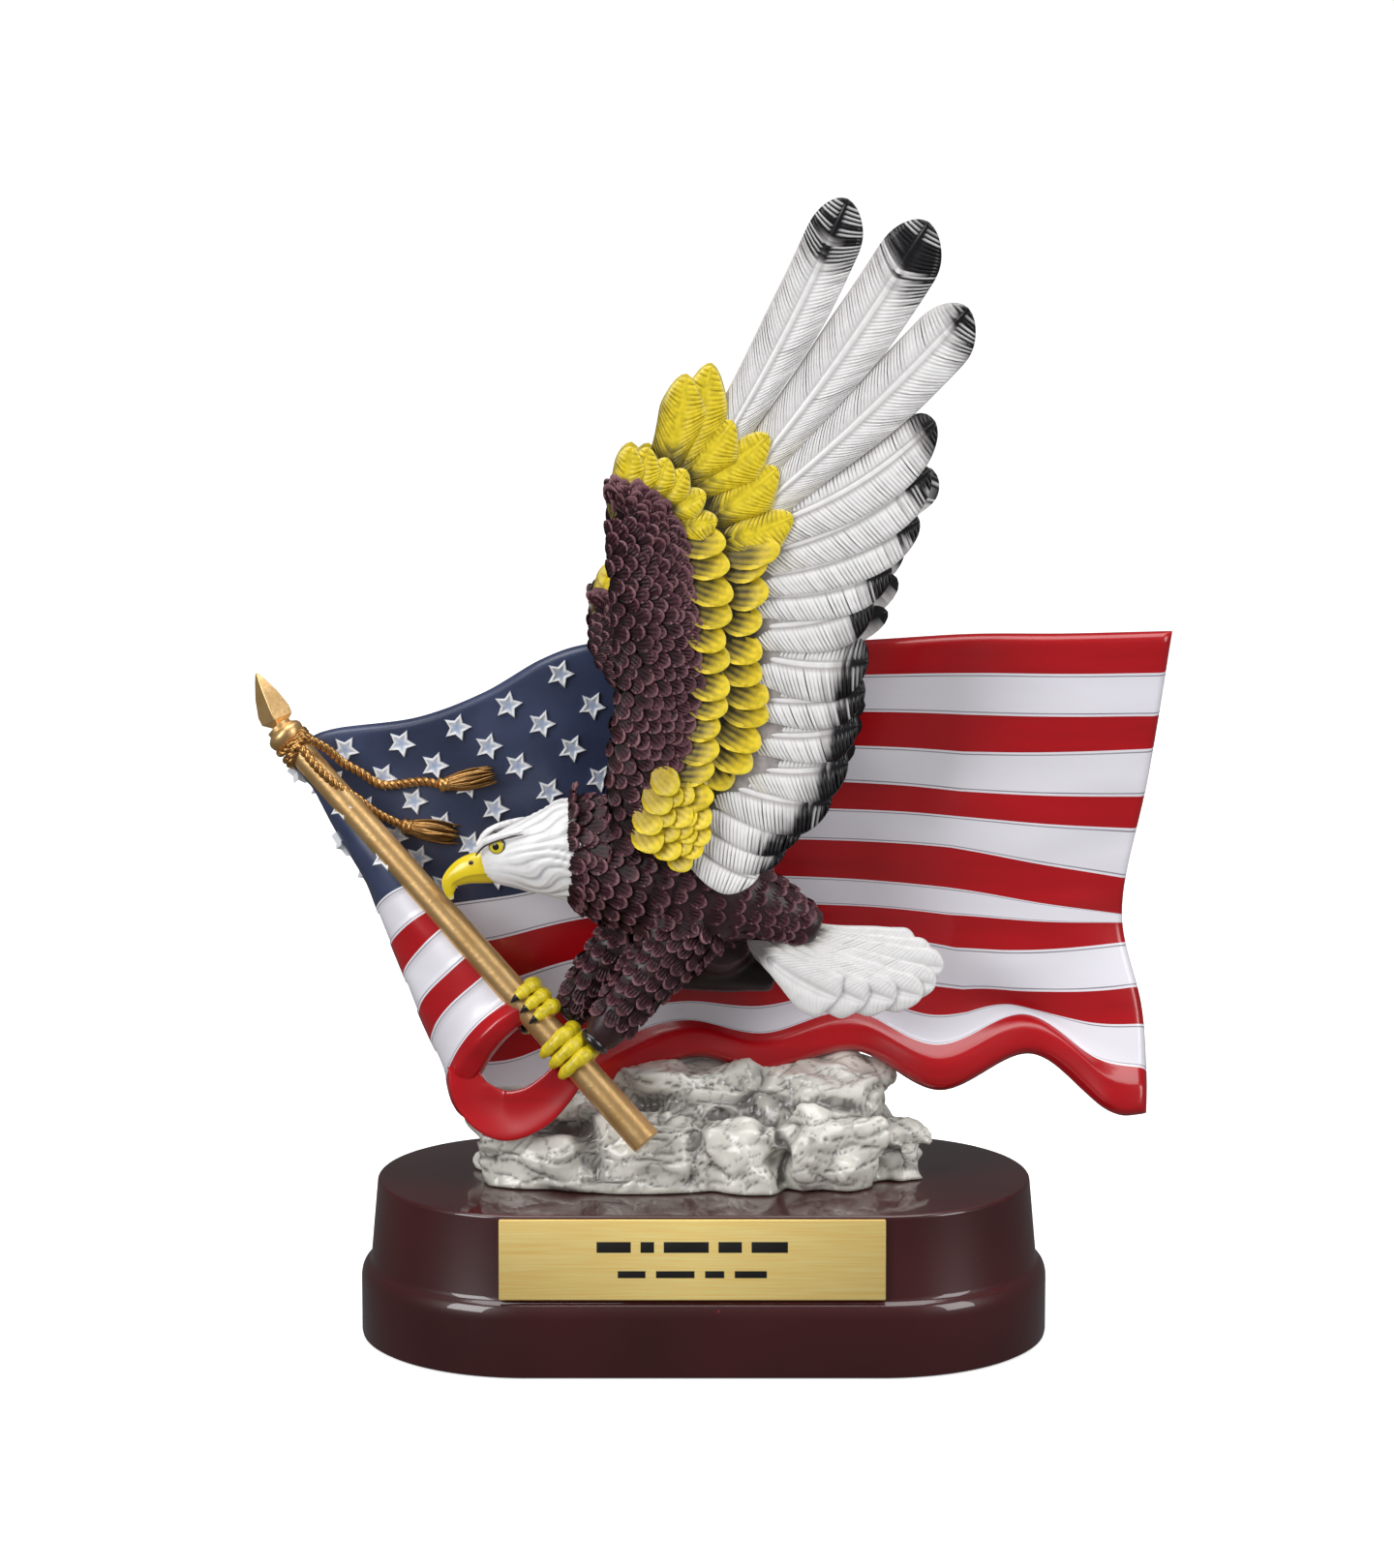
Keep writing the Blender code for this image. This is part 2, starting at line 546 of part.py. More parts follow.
def make_foot(index, share, collection):
    """Three toes that wrap over the pole, and a hind toe that comes round from behind."""
    along, _, _ = pole_axes()
    centre = POLE_TOP.lerp(POLE_FOOT, share)
    grip = POLE_FOOT_RADIUS + TOE_RADIUS / 2
    taper = [min(1.0, 0.45 + 1.1 * (1 - step / (TOE_STEPS - 1))) for step in range(TOE_STEPS)]
    made = []
    for toe in range(TOES):
        middle = centre + along * TOE_SPACING * (toe - (TOES - 1) / 2)
        line = toe_line(middle, *TOE_TURN, grip)
        made.append(tube(f"toe_{index}_{toe}", line, [TOE_RADIUS * t for t in taper], 6, collection))
    line = toe_line(centre + along * TOE_SPACING / 2, *HIND_TOE_TURN, grip)
    made.append(tube(f"hind_toe_{index}", line, [TOE_RADIUS * t for t in taper], 6, collection))
    return made


def rounded_mass(name, line, rings, sides, collection, bump=0.0, flatness=BODY_FLATNESS):
    """A rounded form along a centre line. Bump lifts every other point, as rows of body feathers do."""
    packed = [(*centre, radius) for centre, radius in line]
    found = []
    for i in range(rings):
        t = i / (rings - 1)
        here = spline(packed, t)
        along = Vector(spline(packed, min(t + 0.02, 1.0))[:3]) - Vector(spline(packed, max(t - 0.02, 0.0))[:3])
        side = along.cross(Vector((0.0, 1.0, 0.0)))
        side = side.normalized() if side.length > 0.2 * along.length else Vector((0.0, 0.0, 1.0))
        across = side.cross(along).normalized()
        ring = []
        for j in range(sides):
            angle = 2 * math.pi * j / sides
            lift = 1.0 + (bump if (i + j) % 2 else -bump)
            offset = side * math.cos(angle) + across * math.sin(angle) * flatness
            ring.append(Vector(here[:3]) + offset * here[3] * lift)
        found.append(ring)
    return loft(name, found, collection)


def make_eye(side, collection):
    bm = bmesh.new()
    bmesh.ops.create_icosphere(bm, subdivisions=1, radius=EYE_RADIUS)
    bm.transform(Matrix.Translation((EYE_X, SPINE_Y + side * EYE_SPREAD, EYE_Z)))
    return add_mesh("eye_left" if side < 0 else "eye_right", bm, collection)


def feather(name, root, tip, width, thickness, collection, steps, bow=0.0, face=Vector((0.0, -1.0, 0.0))):
    """One long feather: a thin blade with a ridged quill and a round tip."""
    root, tip = Vector(root), Vector(tip)
    axis = tip - root
    side = axis.cross(face).normalized()
    rings = []
    for i in range(steps + 1):
        t = math.sin(math.pi / 2 * i / steps)
        centre = root + axis * t + side * bow * math.sin(math.pi * t)
        round_tip = math.sqrt(max(1.0 - max((t - 0.8) / 0.2, 0.0) ** 2, 0.04))
        out = side * width / 2 * min(0.75 + 0.4 * t, 1.0) * round_tip
        lift = face * thickness * (1.15 - 0.6 * t)
        rings.append([centre - out, centre - out * 0.35 + lift * 0.6, centre + lift * 1.5,
                      centre + out * 0.35 + lift * 0.6, centre + out, centre - lift])
    return loft(name, rings, collection)


def wing_lines(s):
    """Points of the tiers' edges at feather number s, from the leading edge to the tip, as X and Z."""
    count = len(FLIGHT_TIPS)
    k = min(int(s), count - 1)
    edges = [spline(edge, s / count) for edge in (LEADING_EDGE, BROWN_EDGE, INNER_COVERTS, OUTER_COVERTS)]
    tips = [Vector(p) for p in FLIGHT_TIPS]
    tips = [tips[0], *tips, tips[-1] + LAST_TIP_STEP]
    tip = spline(tips, (s + 0.5) / (len(tips) - 1))
    notches = list(NOTCHES)
    if k < len(FINGER_ROOTS):
        tip = edges[3] + (edges[3] - edges[2]).normalized() * 1.5
        notches[4] = FINGER_NOTCH
    edges.append(tip)
    notch = (2 * (s - k) - 1) ** 2
    return [edges[0]] + [edge.lerp(edges[n], notches[n + 1] * notch) for n, edge in enumerate(edges[1:])]


def make_wing_mantle(name, place, skin, cuts, collection):
    """Arm, two tiers of coverts and the flight feathers as one solid, with a scallop for each feather."""
    sections = []
    for k in range(len(FLIGHT_TIPS)):
        for cut in cuts:
            edges = wing_lines(k + cut)
            section = []
            for across, height in skin:
                n = min(int(across), len(edges) - 2)
                p = edges[n].lerp(edges[n + 1], across - n)
                share = (p - edges[0]).length / (edges[-1] - edges[0]).length
                lift = height + WING_CURL * share**3 + SHINGLE_STEP * cut * min(across, 1.0)
                section.append(place(Vector((p.x, WING_MID_Y - lift, p.y))))
            sections.append(section)
    return loft(name, sections, collection)


def make_wing(name, place, face, skin, cuts, steps, collection):
    made = [make_wing_mantle(name + "_mantle", place, skin, cuts, collection)]
    for k, (root, width) in enumerate(zip(FINGER_ROOTS, FINGER_WIDTHS)):
        start = Vector((root[0], WING_MID_Y - FINGER_Y_STEP * (k + 1), root[1]))
        end = Vector((FLIGHT_TIPS[k][0], WING_MID_Y - WING_CURL, FLIGHT_TIPS[k][1]))
        size = (place(end) - place(start)).length / (end - start).length
        made.append(feather(f"{name}_finger_{k}", place(start), place(end), width * size, FINGER_THICKNESS,
                            collection, steps, FINGER_BOW, face))
    return made


def near_place(p):
    return p


def far_place(p):
    d = p - SHOULDER
    rise = d.z * FAR_SCALE.z
    return FAR_SHOULDER + Vector((d.x * FAR_SCALE.x, -d.y * FAR_SCALE.y + FAR_LEAN * rise**2, rise))


def join_all(name, pieces, collection, trim=None):
    """The first piece takes the others in by one Boolean union, and is then trimmed by a cutter."""
    helpers = make_collection(name + "_pieces")
    body, *others = pieces
    for piece in others:
        for owner in list(piece.users_collection):
            owner.objects.unlink(piece)
        helpers.objects.link(piece)
        hide_helper(piece)
    body.name = body.data.name = name
    union = body.modifiers.new("join", "BOOLEAN")
    union.operation = "UNION"
    union.operand_type = "COLLECTION"
    union.collection = helpers
    union.use_self = True
    if trim:
        cut = body.modifiers.new("trim", "BOOLEAN")
        cut.operation = "DIFFERENCE"
        cut.object = trim
    return body


def make_plinth_cutter(collection):
    """Trims all that would reach below the plinth's top and its clearance."""
    depth = PLINTH_HEIGHT + CLEARANCE
    bm = bmesh.new()
    add_box(bm, Matrix.Identity(4), (0, 0, depth / 2), (*TRIM_SIZE, depth))
    cutter = add_mesh("plinth_top_cutter", bm, collection)
    hide_helper(cutter)
    return cutter


def make_casting(collection, helpers):
    """Flag, rocks, pole, cord and feet, cast in one."""
    pieces = [make_flag(collection)]
    pieces += [make_rock(i, *rock, collection) for i, rock in enumerate(ROCKS)]
    pieces += make_pole(collection)
    pieces += make_cords(collection)
    for i, share in enumerate(FEET):
        pieces += make_foot(i, share, collection)
    paint(join_all("flag_and_rock", pieces, collection, make_plinth_cutter(helpers)), "painted_flag")


def make_eagle(collection):
    """Body, head, wings, tail and legs down to the ankles, cast in one."""
    pieces = [
        rounded_mass("torso", BODY, 15, 16, collection, FEATHER_BUMP),
        rounded_mass("head_mass", HEAD, 8, 12, collection),
        rounded_mass("beak_mass", BEAK, 7, 8, collection, flatness=BEAK_FLATNESS),
        rounded_mass("near_leg", NEAR_LEG, 10, 10, collection, FEATHER_BUMP),
        rounded_mass("far_leg", FAR_LEG, 8, 8, collection, FEATHER_BUMP),
        rounded_mass("belly_support", BELLY_SUPPORT, 4, 10, collection),
        make_eye(-1, collection),
        make_eye(1, collection),
    ]
    for i, tip in enumerate(TAIL_TIPS):
        pieces.append(feather(f"tail_feather_{i}", TAIL_ROOT, tip, TAIL_FEATHER_WIDTH, TAIL_FEATHER_THICKNESS,
                              collection, 4))
    front = Vector((0.0, -1.0, 0.0))
    pieces += make_wing("near_wing", near_place, front, NEAR_WING_SKIN, NEAR_WING_CUTS, 6, collection)
    pieces += make_wing("far_wing", far_place, -front, FAR_WING_SKIN, FAR_WING_CUTS, 4, collection)
    paint(join_all("eagle", pieces, collection), "painted_eagle")


def main():
    clear_scene()
    trophy = make_collection("eagle_trophy")
    helpers = make_collection("cutters")
    make_plinth(trophy)
    make_plate(trophy, helpers)
    make_casting(trophy, helpers)
    make_eagle(trophy)


main()
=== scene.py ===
"""Eagle trophy: a painted resin eagle that lands on a flag and rocks, on a lacquered plinth with a plate.

Metres in Blender, +Z up, the front faces -Y. The sizes below are in millimetres, in the frame's own axes.
"""

import math
import random

import bmesh
import bpy
import numpy as np
from mathutils import Matrix, Vector, noise
from mathutils.bvhtree import BVHTree


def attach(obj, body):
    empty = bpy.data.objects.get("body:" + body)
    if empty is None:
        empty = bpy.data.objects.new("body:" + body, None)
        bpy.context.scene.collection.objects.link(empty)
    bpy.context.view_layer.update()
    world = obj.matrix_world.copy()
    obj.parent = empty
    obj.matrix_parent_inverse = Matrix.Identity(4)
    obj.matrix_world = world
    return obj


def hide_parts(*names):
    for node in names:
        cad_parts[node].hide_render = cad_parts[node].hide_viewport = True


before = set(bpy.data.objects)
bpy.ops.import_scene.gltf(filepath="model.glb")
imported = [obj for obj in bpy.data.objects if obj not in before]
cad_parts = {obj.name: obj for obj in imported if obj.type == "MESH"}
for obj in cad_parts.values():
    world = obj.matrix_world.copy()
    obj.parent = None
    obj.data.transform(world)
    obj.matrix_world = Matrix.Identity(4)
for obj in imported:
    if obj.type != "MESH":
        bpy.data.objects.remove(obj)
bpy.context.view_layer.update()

MM = 0.001
PICTURE_HEIGHT = 1620

# Camera
CAMERA_DISTANCE = 1.5
CAMERA_ELEVATION = 12.0
CAMERA_TARGET = Vector((-0.0016, 0.0, 0.1333))
SENSOR_WIDTH = 36.0
PICTURE_SCALE = 4.4

# Studio: brightness of the white room as fill, as backdrop and in reflections, and of the floor
SKY_FILL = 0.43
SKY_SEEN = 1.05
SKY_MIRRORED = 0.09
FLOOR_GLOW = 0.63
# Name, place, size and watts of each lamp
SOFTBOXES = (
    ("left_softbox", (-0.80, -0.80, 0.60), (0.55, 0.75), 7.6),
    ("right_softbox", (0.95, -0.60, 0.55), (0.45, 0.75), 4.6),
    ("top_softbox", (0.0, -0.10, 1.1), (1.0, 0.7), 7.0),
)

# Plinth
PLINTH_HEIGHT = 38.3
PLINTH_HALF_STRAIGHT = 41.3
PLINTH_TOP_RADIUS = 36.2
PLINTH_WAIST_RADIUS = 38.2
PLINTH_BAND_RADIUS = 40.24
PLINTH_BAND_HEIGHT = 14.0
PLINTH_SHOULDER_HEIGHT = 4.0
PLINTH_EDGE_ROUND = 0.9
PLINTH_TURN_STEPS = 128

# Name plate
PLATE_WIDTH = 90.0
PLATE_HEIGHT = 19.0
PLATE_THICKNESS = 1.2
PLATE_SEAT_GAP = 0.3
PLATE_TOP_GAP = 0.6
PLATE_OFFSET_X = -2.7
PLATE_BEVEL = 0.35
STROKE_SINK = 0.08
STROKE_THICKNESS = 0.2
STROKE_BEVEL = 0.06
# Rows of strokes: height of the row, height of its strokes, their widths and the gap between them
STROKE_ROWS = (
    (3.0, 2.6, (8.0, 3.2, 10.5, 5.5, 8.5), 2.2),
    (-3.4, 1.7, (6.5, 9.0, 4.5, 7.5), 2.4),
)

# Flag pole and spear head
POLE_TOP = np.array((-97.4, 8.0, 142.1))
POLE_FOOT = np.array((-13.4, -24.0, 52.8))
POLE_TOP_RADIUS = 3.1
POLE_FOOT_RADIUS = 3.7
COLLAR_RADIUS = 4.6
COLLAR_LENGTH = 2.6
SPEAR_TIP = np.array((-105.5, 11.5, 157.6))
SPEAR_HALF_WIDTH = 4.1
SPEAR_HALF_THICKNESS = 2.2
SPEAR_BEVEL = 0.25
POLE_BEHIND_COLLAR = 4.4
# Place along the pole and radius of each ring of the collar
COLLAR = (
    (-COLLAR_LENGTH - 1.2, 2.4), (-COLLAR_LENGTH - 0.8, 3.3), (-COLLAR_LENGTH, 4.3), (-1.8, COLLAR_RADIUS),
    (-0.8, 4.4), (0.0, 3.9), (0.8, 3.4),
)
# Share of the spear head's length, width and thickness at each of its rings
SPEAR = (
    (0.0, 0.42, 0.8), (0.10, 0.5, 0.8), (0.2, 0.98, 1.15), (0.34, 1.0, 1.15), (0.62, 0.72, 0.85),
    (0.86, 0.34, 0.5), (0.97, 0.14, 0.25), (1.0, 0.05, 0.1),
)

# Flag
STRIPES = 13
CANTON_STRIPES = 7
CANTON_END = 0.53
CLOTH_COLUMNS = 300
FINE_LEVELS = 521
HOIST_START = 0.02
HOIST_END = 0.69
HOIST_BACK = 1.0
EDGE_ROUND = 2.3
STEP_DEPTH = 0.28
# Half thickness of the cloth at a level, counted in stripes down from the top edge
CLOTH_HALF = (
    (0.0, 2.3), (11.7, 2.3), (12.1, 2.8), (12.35, 3.6), (12.5, 4.0), (12.58, 4.05), (12.66, 3.85),
    (12.8, 3.0), (12.93, 2.1), (13.0, 1.3),
)
FLAG_LINES = {
    0: (
        (-97.0, 10.5, 139.0), (-93.5, 13.0, 141.5), (-87.0, 13.0, 144.0), (-68.0, 12.0, 146.8),
        (-52.0, 12.0, 152.8), (-38.0, 14.0, 160.6), (-26.0, 17.0, 163.8), (-6.0, 20.0, 164.4),
        (30.0, 20.5, 163.6), (62.0, 15.0, 166.3), (85.0, 13.0, 166.8), (110.6, 16.0, 166.8),
    ),
    3.5: (
        (-85.0, 3.5, 124.8), (-84.6, 8.0, 122.6), (-74.5, 12.2, 123.0), (-61.3, 11.6, 126.4),
        (-41.4, 12.4, 132.6), (-16.0, 16.5, 136.2), (15.0, 18.3, 135.7), (46.5, 15.6, 135.7),
        (78.0, 12.1, 134.1), (105.6, 17.3, 132.0),
    ),
    7: (
        (-72.0, -2.5, 106.0), (-75.0, 3.0, 102.5), (-73.0, 8.5, 100.8), (-66.0, 10.5, 101.6),
        (-50.0, 10.5, 104.6), (-24.0, 13.5, 108.2), (7.5, 15.5, 108.4), (35.0, 14.5, 107.7),
        (61.0, 11.5, 105.8), (81.0, 12.0, 102.5), (99.7, 17.0, 99.0),
    ),
    10: (
        (-59.0, -8.0, 90.4), (-66.0, -4.0, 84.6), (-65.5, 2.5, 79.6), (-58.5, 7.0, 76.6),
        (-48.3, 9.8, 76.9), (-28.6, 12.3, 82.7), (2.0, 12.5, 87.0), (33.0, 13.8, 88.6),
        (63.0, 11.1, 85.2), (92.0, 11.2, 78.7), (104.4, 12.2, 76.6),
    ),
    12: (
        (-52.0, -11.5, 79.0), (-57.0, -9.0, 72.5), (-59.0, -4.0, 65.5), (-57.0, 2.5, 59.5),
        (-51.0, 7.0, 57.0), (-40.0, 9.5, 59.5), (-18.0, 11.0, 70.5), (-4.0, 10.5, 74.0),
        (14.0, 8.5, 71.5), (35.0, 12.0, 76.0), (55.0, 7.0, 69.5), (76.0, 12.5, 74.5),
        (93.0, 7.5, 65.0), (105.4, 7.0, 62.5),
    ),
    13: (
        (-46.5, -14.5, 75.5), (-52.0, -13.0, 68.0), (-54.5, -8.5, 60.5), (-52.5, -2.5, 53.0),
        (-47.0, 2.0, 49.0), (-38.0, 3.5, 51.0), (-18.0, 4.5, 60.5), (-2.0, 4.5, 66.5),
        (15.0, 2.0, 63.5), (36.0, 5.5, 67.8), (56.0, 0.0, 59.5), (78.0, 6.0, 67.0),
        (96.0, -1.0, 55.0), (105.0, 0.0, 53.5),
    ),
}
# The hem where it curls forward in front of the rocks: centre and half width
HEM_CURL = (
    ((-57.2, -10.5, 68.5), 3.2), ((-54.2, -12.5, 61.0), 4.8), ((-47.5, -14.0, 56.8), 6.0),
    ((-40.5, -15.2, 58.6), 5.4), ((-35.2, -15.6, 63.0), 4.6), ((-31.6, -15.4, 67.4), 4.0),
)
HEM_CURL_THICKNESS = 1.9
HEM_CURL_CUP = 0.9
HEM_CURL_STEPS = 60
# Rows of the cloth in the top stripe, in a middle stripe and in the hem, and the two rows where a thin grey line of
# painted shade runs along the edge of a white stripe
TOP_ROWS = (0.0, 0.01, 0.03, 0.07, 0.12, 0.18, 0.25, 0.4, 0.6, 0.8, 0.93)
STRIPE_ROWS = (0.12, 0.25, 0.42, 0.58, 0.75, 0.88)
HEM_ROWS = (0.0, 0.08, 0.15, 0.22, 0.29, 0.36, 0.42, 0.48, 0.54, 0.6, 0.68, 0.76, 0.84, 0.91, 0.96, 1.0)
RED_EDGE_ROWS = (0.0, 0.07)
WHITE_EDGE_ROWS = (0.0, 0.05, 0.08)
SHADE_LINE_ROWS = (0.05, 0.92)
ROW_TOLERANCE = 0.005
RED_PLACE, WHITE_PLACE, NAVY_PLACE, SHADE_LINE_PLACE = range(4)
# Levels of the edges between stripes, at places along the cloth from the hoist to the fly
STRIPE_EDGES = {
    0.0: (0, 1.0, 2.0, 3.0, 4.0, 5.0, 5.9, 6.5, 7.7, 8.4, 9.8, 10.7, 12.0, 13),
    0.1: (0, 1.0, 2.0, 3.0, 4.0, 5.0, 6.0, 7.0, 8.3, 9.3, 10.4, 11.1, 12.2, 13),
    0.25: (0, 1.0, 2.0, 3.0, 4.0, 5.0, 6.0, 7.1, 8.2, 9.3, 10.5, 11.3, 12.2, 13),
    0.78: (0, 1.0, 2.1, 3.1, 4.2, 4.9, 5.8, 7.0, 7.9, 9.1, 10.6, 11.4, 12.2, 13),
    1.0: (0, 0.95, 2.0, 2.8, 4.0, 4.8, 6.1, 7.1, 7.35, 7.95, 9.4, 10.6, 12.1, 13),
}
STAR_RADIUS = 3.45
STAR_HEIGHT = 0.75
STAR_WAIST = 0.5
STAR_FIRST = (0.075, 0.85)
STAR_STEP = 0.0625
STAR_ROW_STEP = 1.12
STAR_ROW_SHIFT = 0.031
STAR_ROW_RISE = -2.0
# Size and height of each ring of a star, from its foot to its dimple, and their colours: greyer on the sides and
# darker and bluer in the dimple as painted shade
STAR_RINGS = ((1.06, -0.9), (1.0, 0.35), (0.90, STAR_HEIGHT), (0.74, STAR_HEIGHT), (0.55, 0.42), (0.2, 0.36))
STAR_SHADES = [(0.72, 0.74, 0.78)] * 2 + [(0.88, 0.89, 0.90)] * 2 + [(0.66, 0.70, 0.80), (0.40, 0.48, 0.66)]

# Rocks: centre, half sizes and turn about Z of each boulder
ROCKS = (
    ((-3.0, 4.0, 44.0), (50.0, 16.0, 14.5), 0.0),
    ((-34.0, -4.0, 44.5), (20.5, 12.5, 8.5), -8.0),
    ((-13.0, -8.0, 46.5), (16.0, 10.5, 11.0), 6.0),
    ((7.0, -9.0, 45.0), (12.5, 10.0, 11.0), -10.0),
    ((30.0, -8.0, 46.5), (12.5, 10.5, 11.5), 12.0),
    ((28.0, 4.0, 56.0), (16.5, 13.0, 10.5), -14.0),
    ((1.0, 6.0, 55.5), (23.0, 12.0, 10.5), 9.0),
    ((44.0, 1.5, 41.5), (7.2, 9.0, 7.2), 15.0),
)
ROCK_ROUGHNESS = 0.3
ROCK_GRAIN = 1.7
ROCK_SQUARENESS = 0.55
ROCK_VOXEL = 0.75
ROCK_SEAT = 38.7
ROCK_POWER = 3.0
ROCK_GROOVE = 1.9
ROCK_GROOVE_WIDTH = 0.16
# Carving of the rocks: size of each pattern along X, Y and Z, its depth, and the width of its cuts
WARP_SIZE = 9.0
WARP_REACH = 3.5
PLANE_SIZE = (14.0, 14.0, 8.0)
PLANE_DEPTH = 1.1
CRACK_SIZE = (22.0, 22.0, 4.0)
CRACK_DEPTH = 0.8
CRACK_WIDTH = 0.05
GASH_SIZE = (8.0, 9.0, 7.0)
GASH_DEPTH = 0.35
GASH_WIDTH = 0.08
LUMP_SIZE = 6.0
LUMP_DEPTH = 0.6
# Painted shade on the rocks: grey in their hollows and cracks, and darker where they sit on the plinth
ROCK_HOLLOW_SHADE = np.array((0.24, 0.23, 0.24))
ROCK_SEAT_SHADE = np.array((0.45, 0.42, 0.38))

# Gilt cords and tassels
CORD_RADIUS = 1.05
CORDS = (
    ((-92.5, 2.6, 143.5), (-88.3, 5.0, 140.4), (-85.1, 7.0, 137.0), (-81.0, 8.0, 134.4), (-77.4, 8.6, 131.8),
     (-74.0, 8.8, 131.2), (-66.4, 9.0, 132.0), (-61.0, 8.8, 131.0)),
    ((-94.5, 2.2, 141.5), (-91.3, 1.4, 137.5), (-88.2, 1.2, 134.4), (-85.2, 2.0, 131.8), (-81.6, 3.6, 129.0),
     (-77.5, 6.0, 125.2), (-73.0, 8.0, 122.4), (-70.0, 8.4, 121.2)),
)
TASSELS = (
    ((-62.0, 8.6, 131.2), (-48.9, 8.4, 133.9), 2.8),
    ((-71.0, 8.2, 121.4), (-57.5, 8.4, 119.2), 3.0),
)
# Place along the tassel in millimetres and share of its size at each ring of its knot
TASSEL_KNOT = ((-0.6, 0.35), (-0.2, 0.62), (0.4, 0.66), (0.9, 0.5), (1.3, 0.62), (1.8, 0.66), (2.3, 0.5))
TASSEL_CORE = (0.45, 0.6, 0.72, 0.8, 0.84, 0.84, 0.8, 0.7, 0.45)
TASSEL_CORE_SHADE = (0.25, 0.22, 0.2)
TASSEL_THREADS = 26
THREAD_WIDTHS = np.array((0.5, 0.62, 0.66, 0.66, 0.64, 0.62, 0.58, 0.52, 0.42, 0.2))
LASHING_TURNS = 3

# Eagle: centre and radius along each rounded mass, all about the plane of its spine
SPINE_Y = -9.0
TORSO = (
    ((-31.0, SPINE_Y, 119.9), 11.4), ((-27.0, SPINE_Y, 119.5), 12.2), ((-16.0, SPINE_Y, 115.5), 14.6),
    ((-2.0, SPINE_Y, 110.5), 13.7), ((12.0, SPINE_Y, 106.5), 9.2), ((21.0, SPINE_Y, 102.8), 6.0),
    ((27.0, SPINE_Y, 100.4), 3.9),
)
HEAD = (
    ((-20.0, SPINE_Y, 118.5), 7.5), ((-26.5, SPINE_Y, 119.4), 10.4), ((-31.0, SPINE_Y, 119.5), 12.1),
    ((-36.0, SPINE_Y, 118.8), 10.4),
    ((-43.0, SPINE_Y, 117.9), 8.0), ((-49.0, SPINE_Y, 116.8), 5.6), ((-51.5, SPINE_Y, 116.2), 3.6),
)
BEAK = (
    ((-46.0, SPINE_Y, 115.2), 4.0), ((-51.0, SPINE_Y, 115.2), 4.1), ((-55.5, SPINE_Y, 114.4), 3.5),
    ((-59.0, SPINE_Y, 112.2), 2.3), ((-59.6, SPINE_Y, 109.6), 1.3), ((-59.0, SPINE_Y, 107.6), 0.5),
)
BEAK_FLATNESS = 0.7
NEAR_LEG = (
    ((-3.0, -13.0, 103.0), 8.9), ((-9.0, -15.0, 96.0), 8.0), ((-16.0, -17.0, 87.5), 6.2),
    ((-22.5, -18.0, 79.0), 5.0), ((-25.5, -18.2, 75.6), 3.6),
)
FAR_LEG = (
    ((-12.0, -4.0, 105.0), 8.4), ((-19.0, -6.0, 97.0), 6.4), ((-26.0, -8.5, 88.5), 4.9),
    ((-30.5, -10.0, 82.0), 4.1), ((-32.0, -10.5, 80.5), 3.0),
)
BELLY_SUPPORT = (((4.0, -8.0, 98.0), 7.5), ((4.0, -1.0, 94.5), 8.0), ((4.0, 9.0, 91.0), 7.5))
SUPPORT_FOOT = (
    ((-9.0, 3.0, 85.6), 2.6), ((-2.0, 3.0, 87.2), 4.6), ((5.0, 2.0, 88.4), 5.8), ((11.0, 1.0, 88.0), 5.2),
    ((17.0, 0.0, 86.4), 3.6),
)
# Near-black painted shade on the support in the hollow under the belly
SUPPORT_SHADE = (0.010, 0.003, 0.005)
EYE_X = -48.2
EYE_Z = 121.4
EYE_SPREAD = 3.9
EYE_RADIUS = 1.7
EYE_SIDES = 32
BROW_LINE = (
    (-53.2, 3.1, 119.6), (-51.2, 4.6, 122.2), (-48.6, 5.4, 123.6), (-45.6, 6.2, 124.6), (-42.0, 7.2, 125.6),
)
BROW_STEPS = 16
NOSTRIL = (-54.4, 2.25, 116.9)
HEAD_RINGS = 150
HEAD_SIDES = 132
HEAD_LOCKS = 34
BEAK_RINGS = 60
BODY_FLATNESS = 0.86
BODY_VOXEL = 0.9
SCALE_GAP = 2.2
SCALE_HEIGHT = 1.2

# Tail: root, tip and width of each feather
TAIL = (
    ((25.7, -7.5, 99.8), (49.8, -7.5, 96.3), 9.0),
    ((26.1, -8.0, 99.0), (53.6, -8.5, 93.8), 9.5),
    ((25.2, -8.5, 98.4), (56.3, -9.5, 91.2), 10.0),
    ((23.8, -9.2, 97.7), (54.5, -10.5, 87.2), 10.0),
    ((22.0, -10.0, 97.1), (51.3, -11.5, 84.7), 10.5),
    ((19.3, -11.0, 96.7), (44.9, -12.5, 84.0), 11.0),
    ((16.5, -12.0, 96.7), (38.1, -13.4, 83.7), 11.5),
    ((14.3, -13.0, 95.8), (31.5, -14.2, 84.9), 12.5),
)
TAIL_FACE = np.array((-0.14, -0.98, 0.12))

# Feet
FEET = (0.669, 0.779)
TOE_RADIUS = 1.9
TOE_SPACING = 3.3
TOE_TURNS = ((-60.0, 80.0), (-60.0, 150.0))
HIND_TOE_TURN = (-50.0, -160.0)
TOE_STEPS = 60
TOE_SIDES = 18
TOE_WRINKLES = 16
TALON_TURN = 26
TALON_STEPS = 12
# Place from the ankle in millimetres and share of the leg's radius at each ring of the black band
ANKLE_BAND = ((-1.4, 0.75), (-0.9, 1.02), (0.0, 1.08), (0.9, 1.0), (1.3, 0.6))

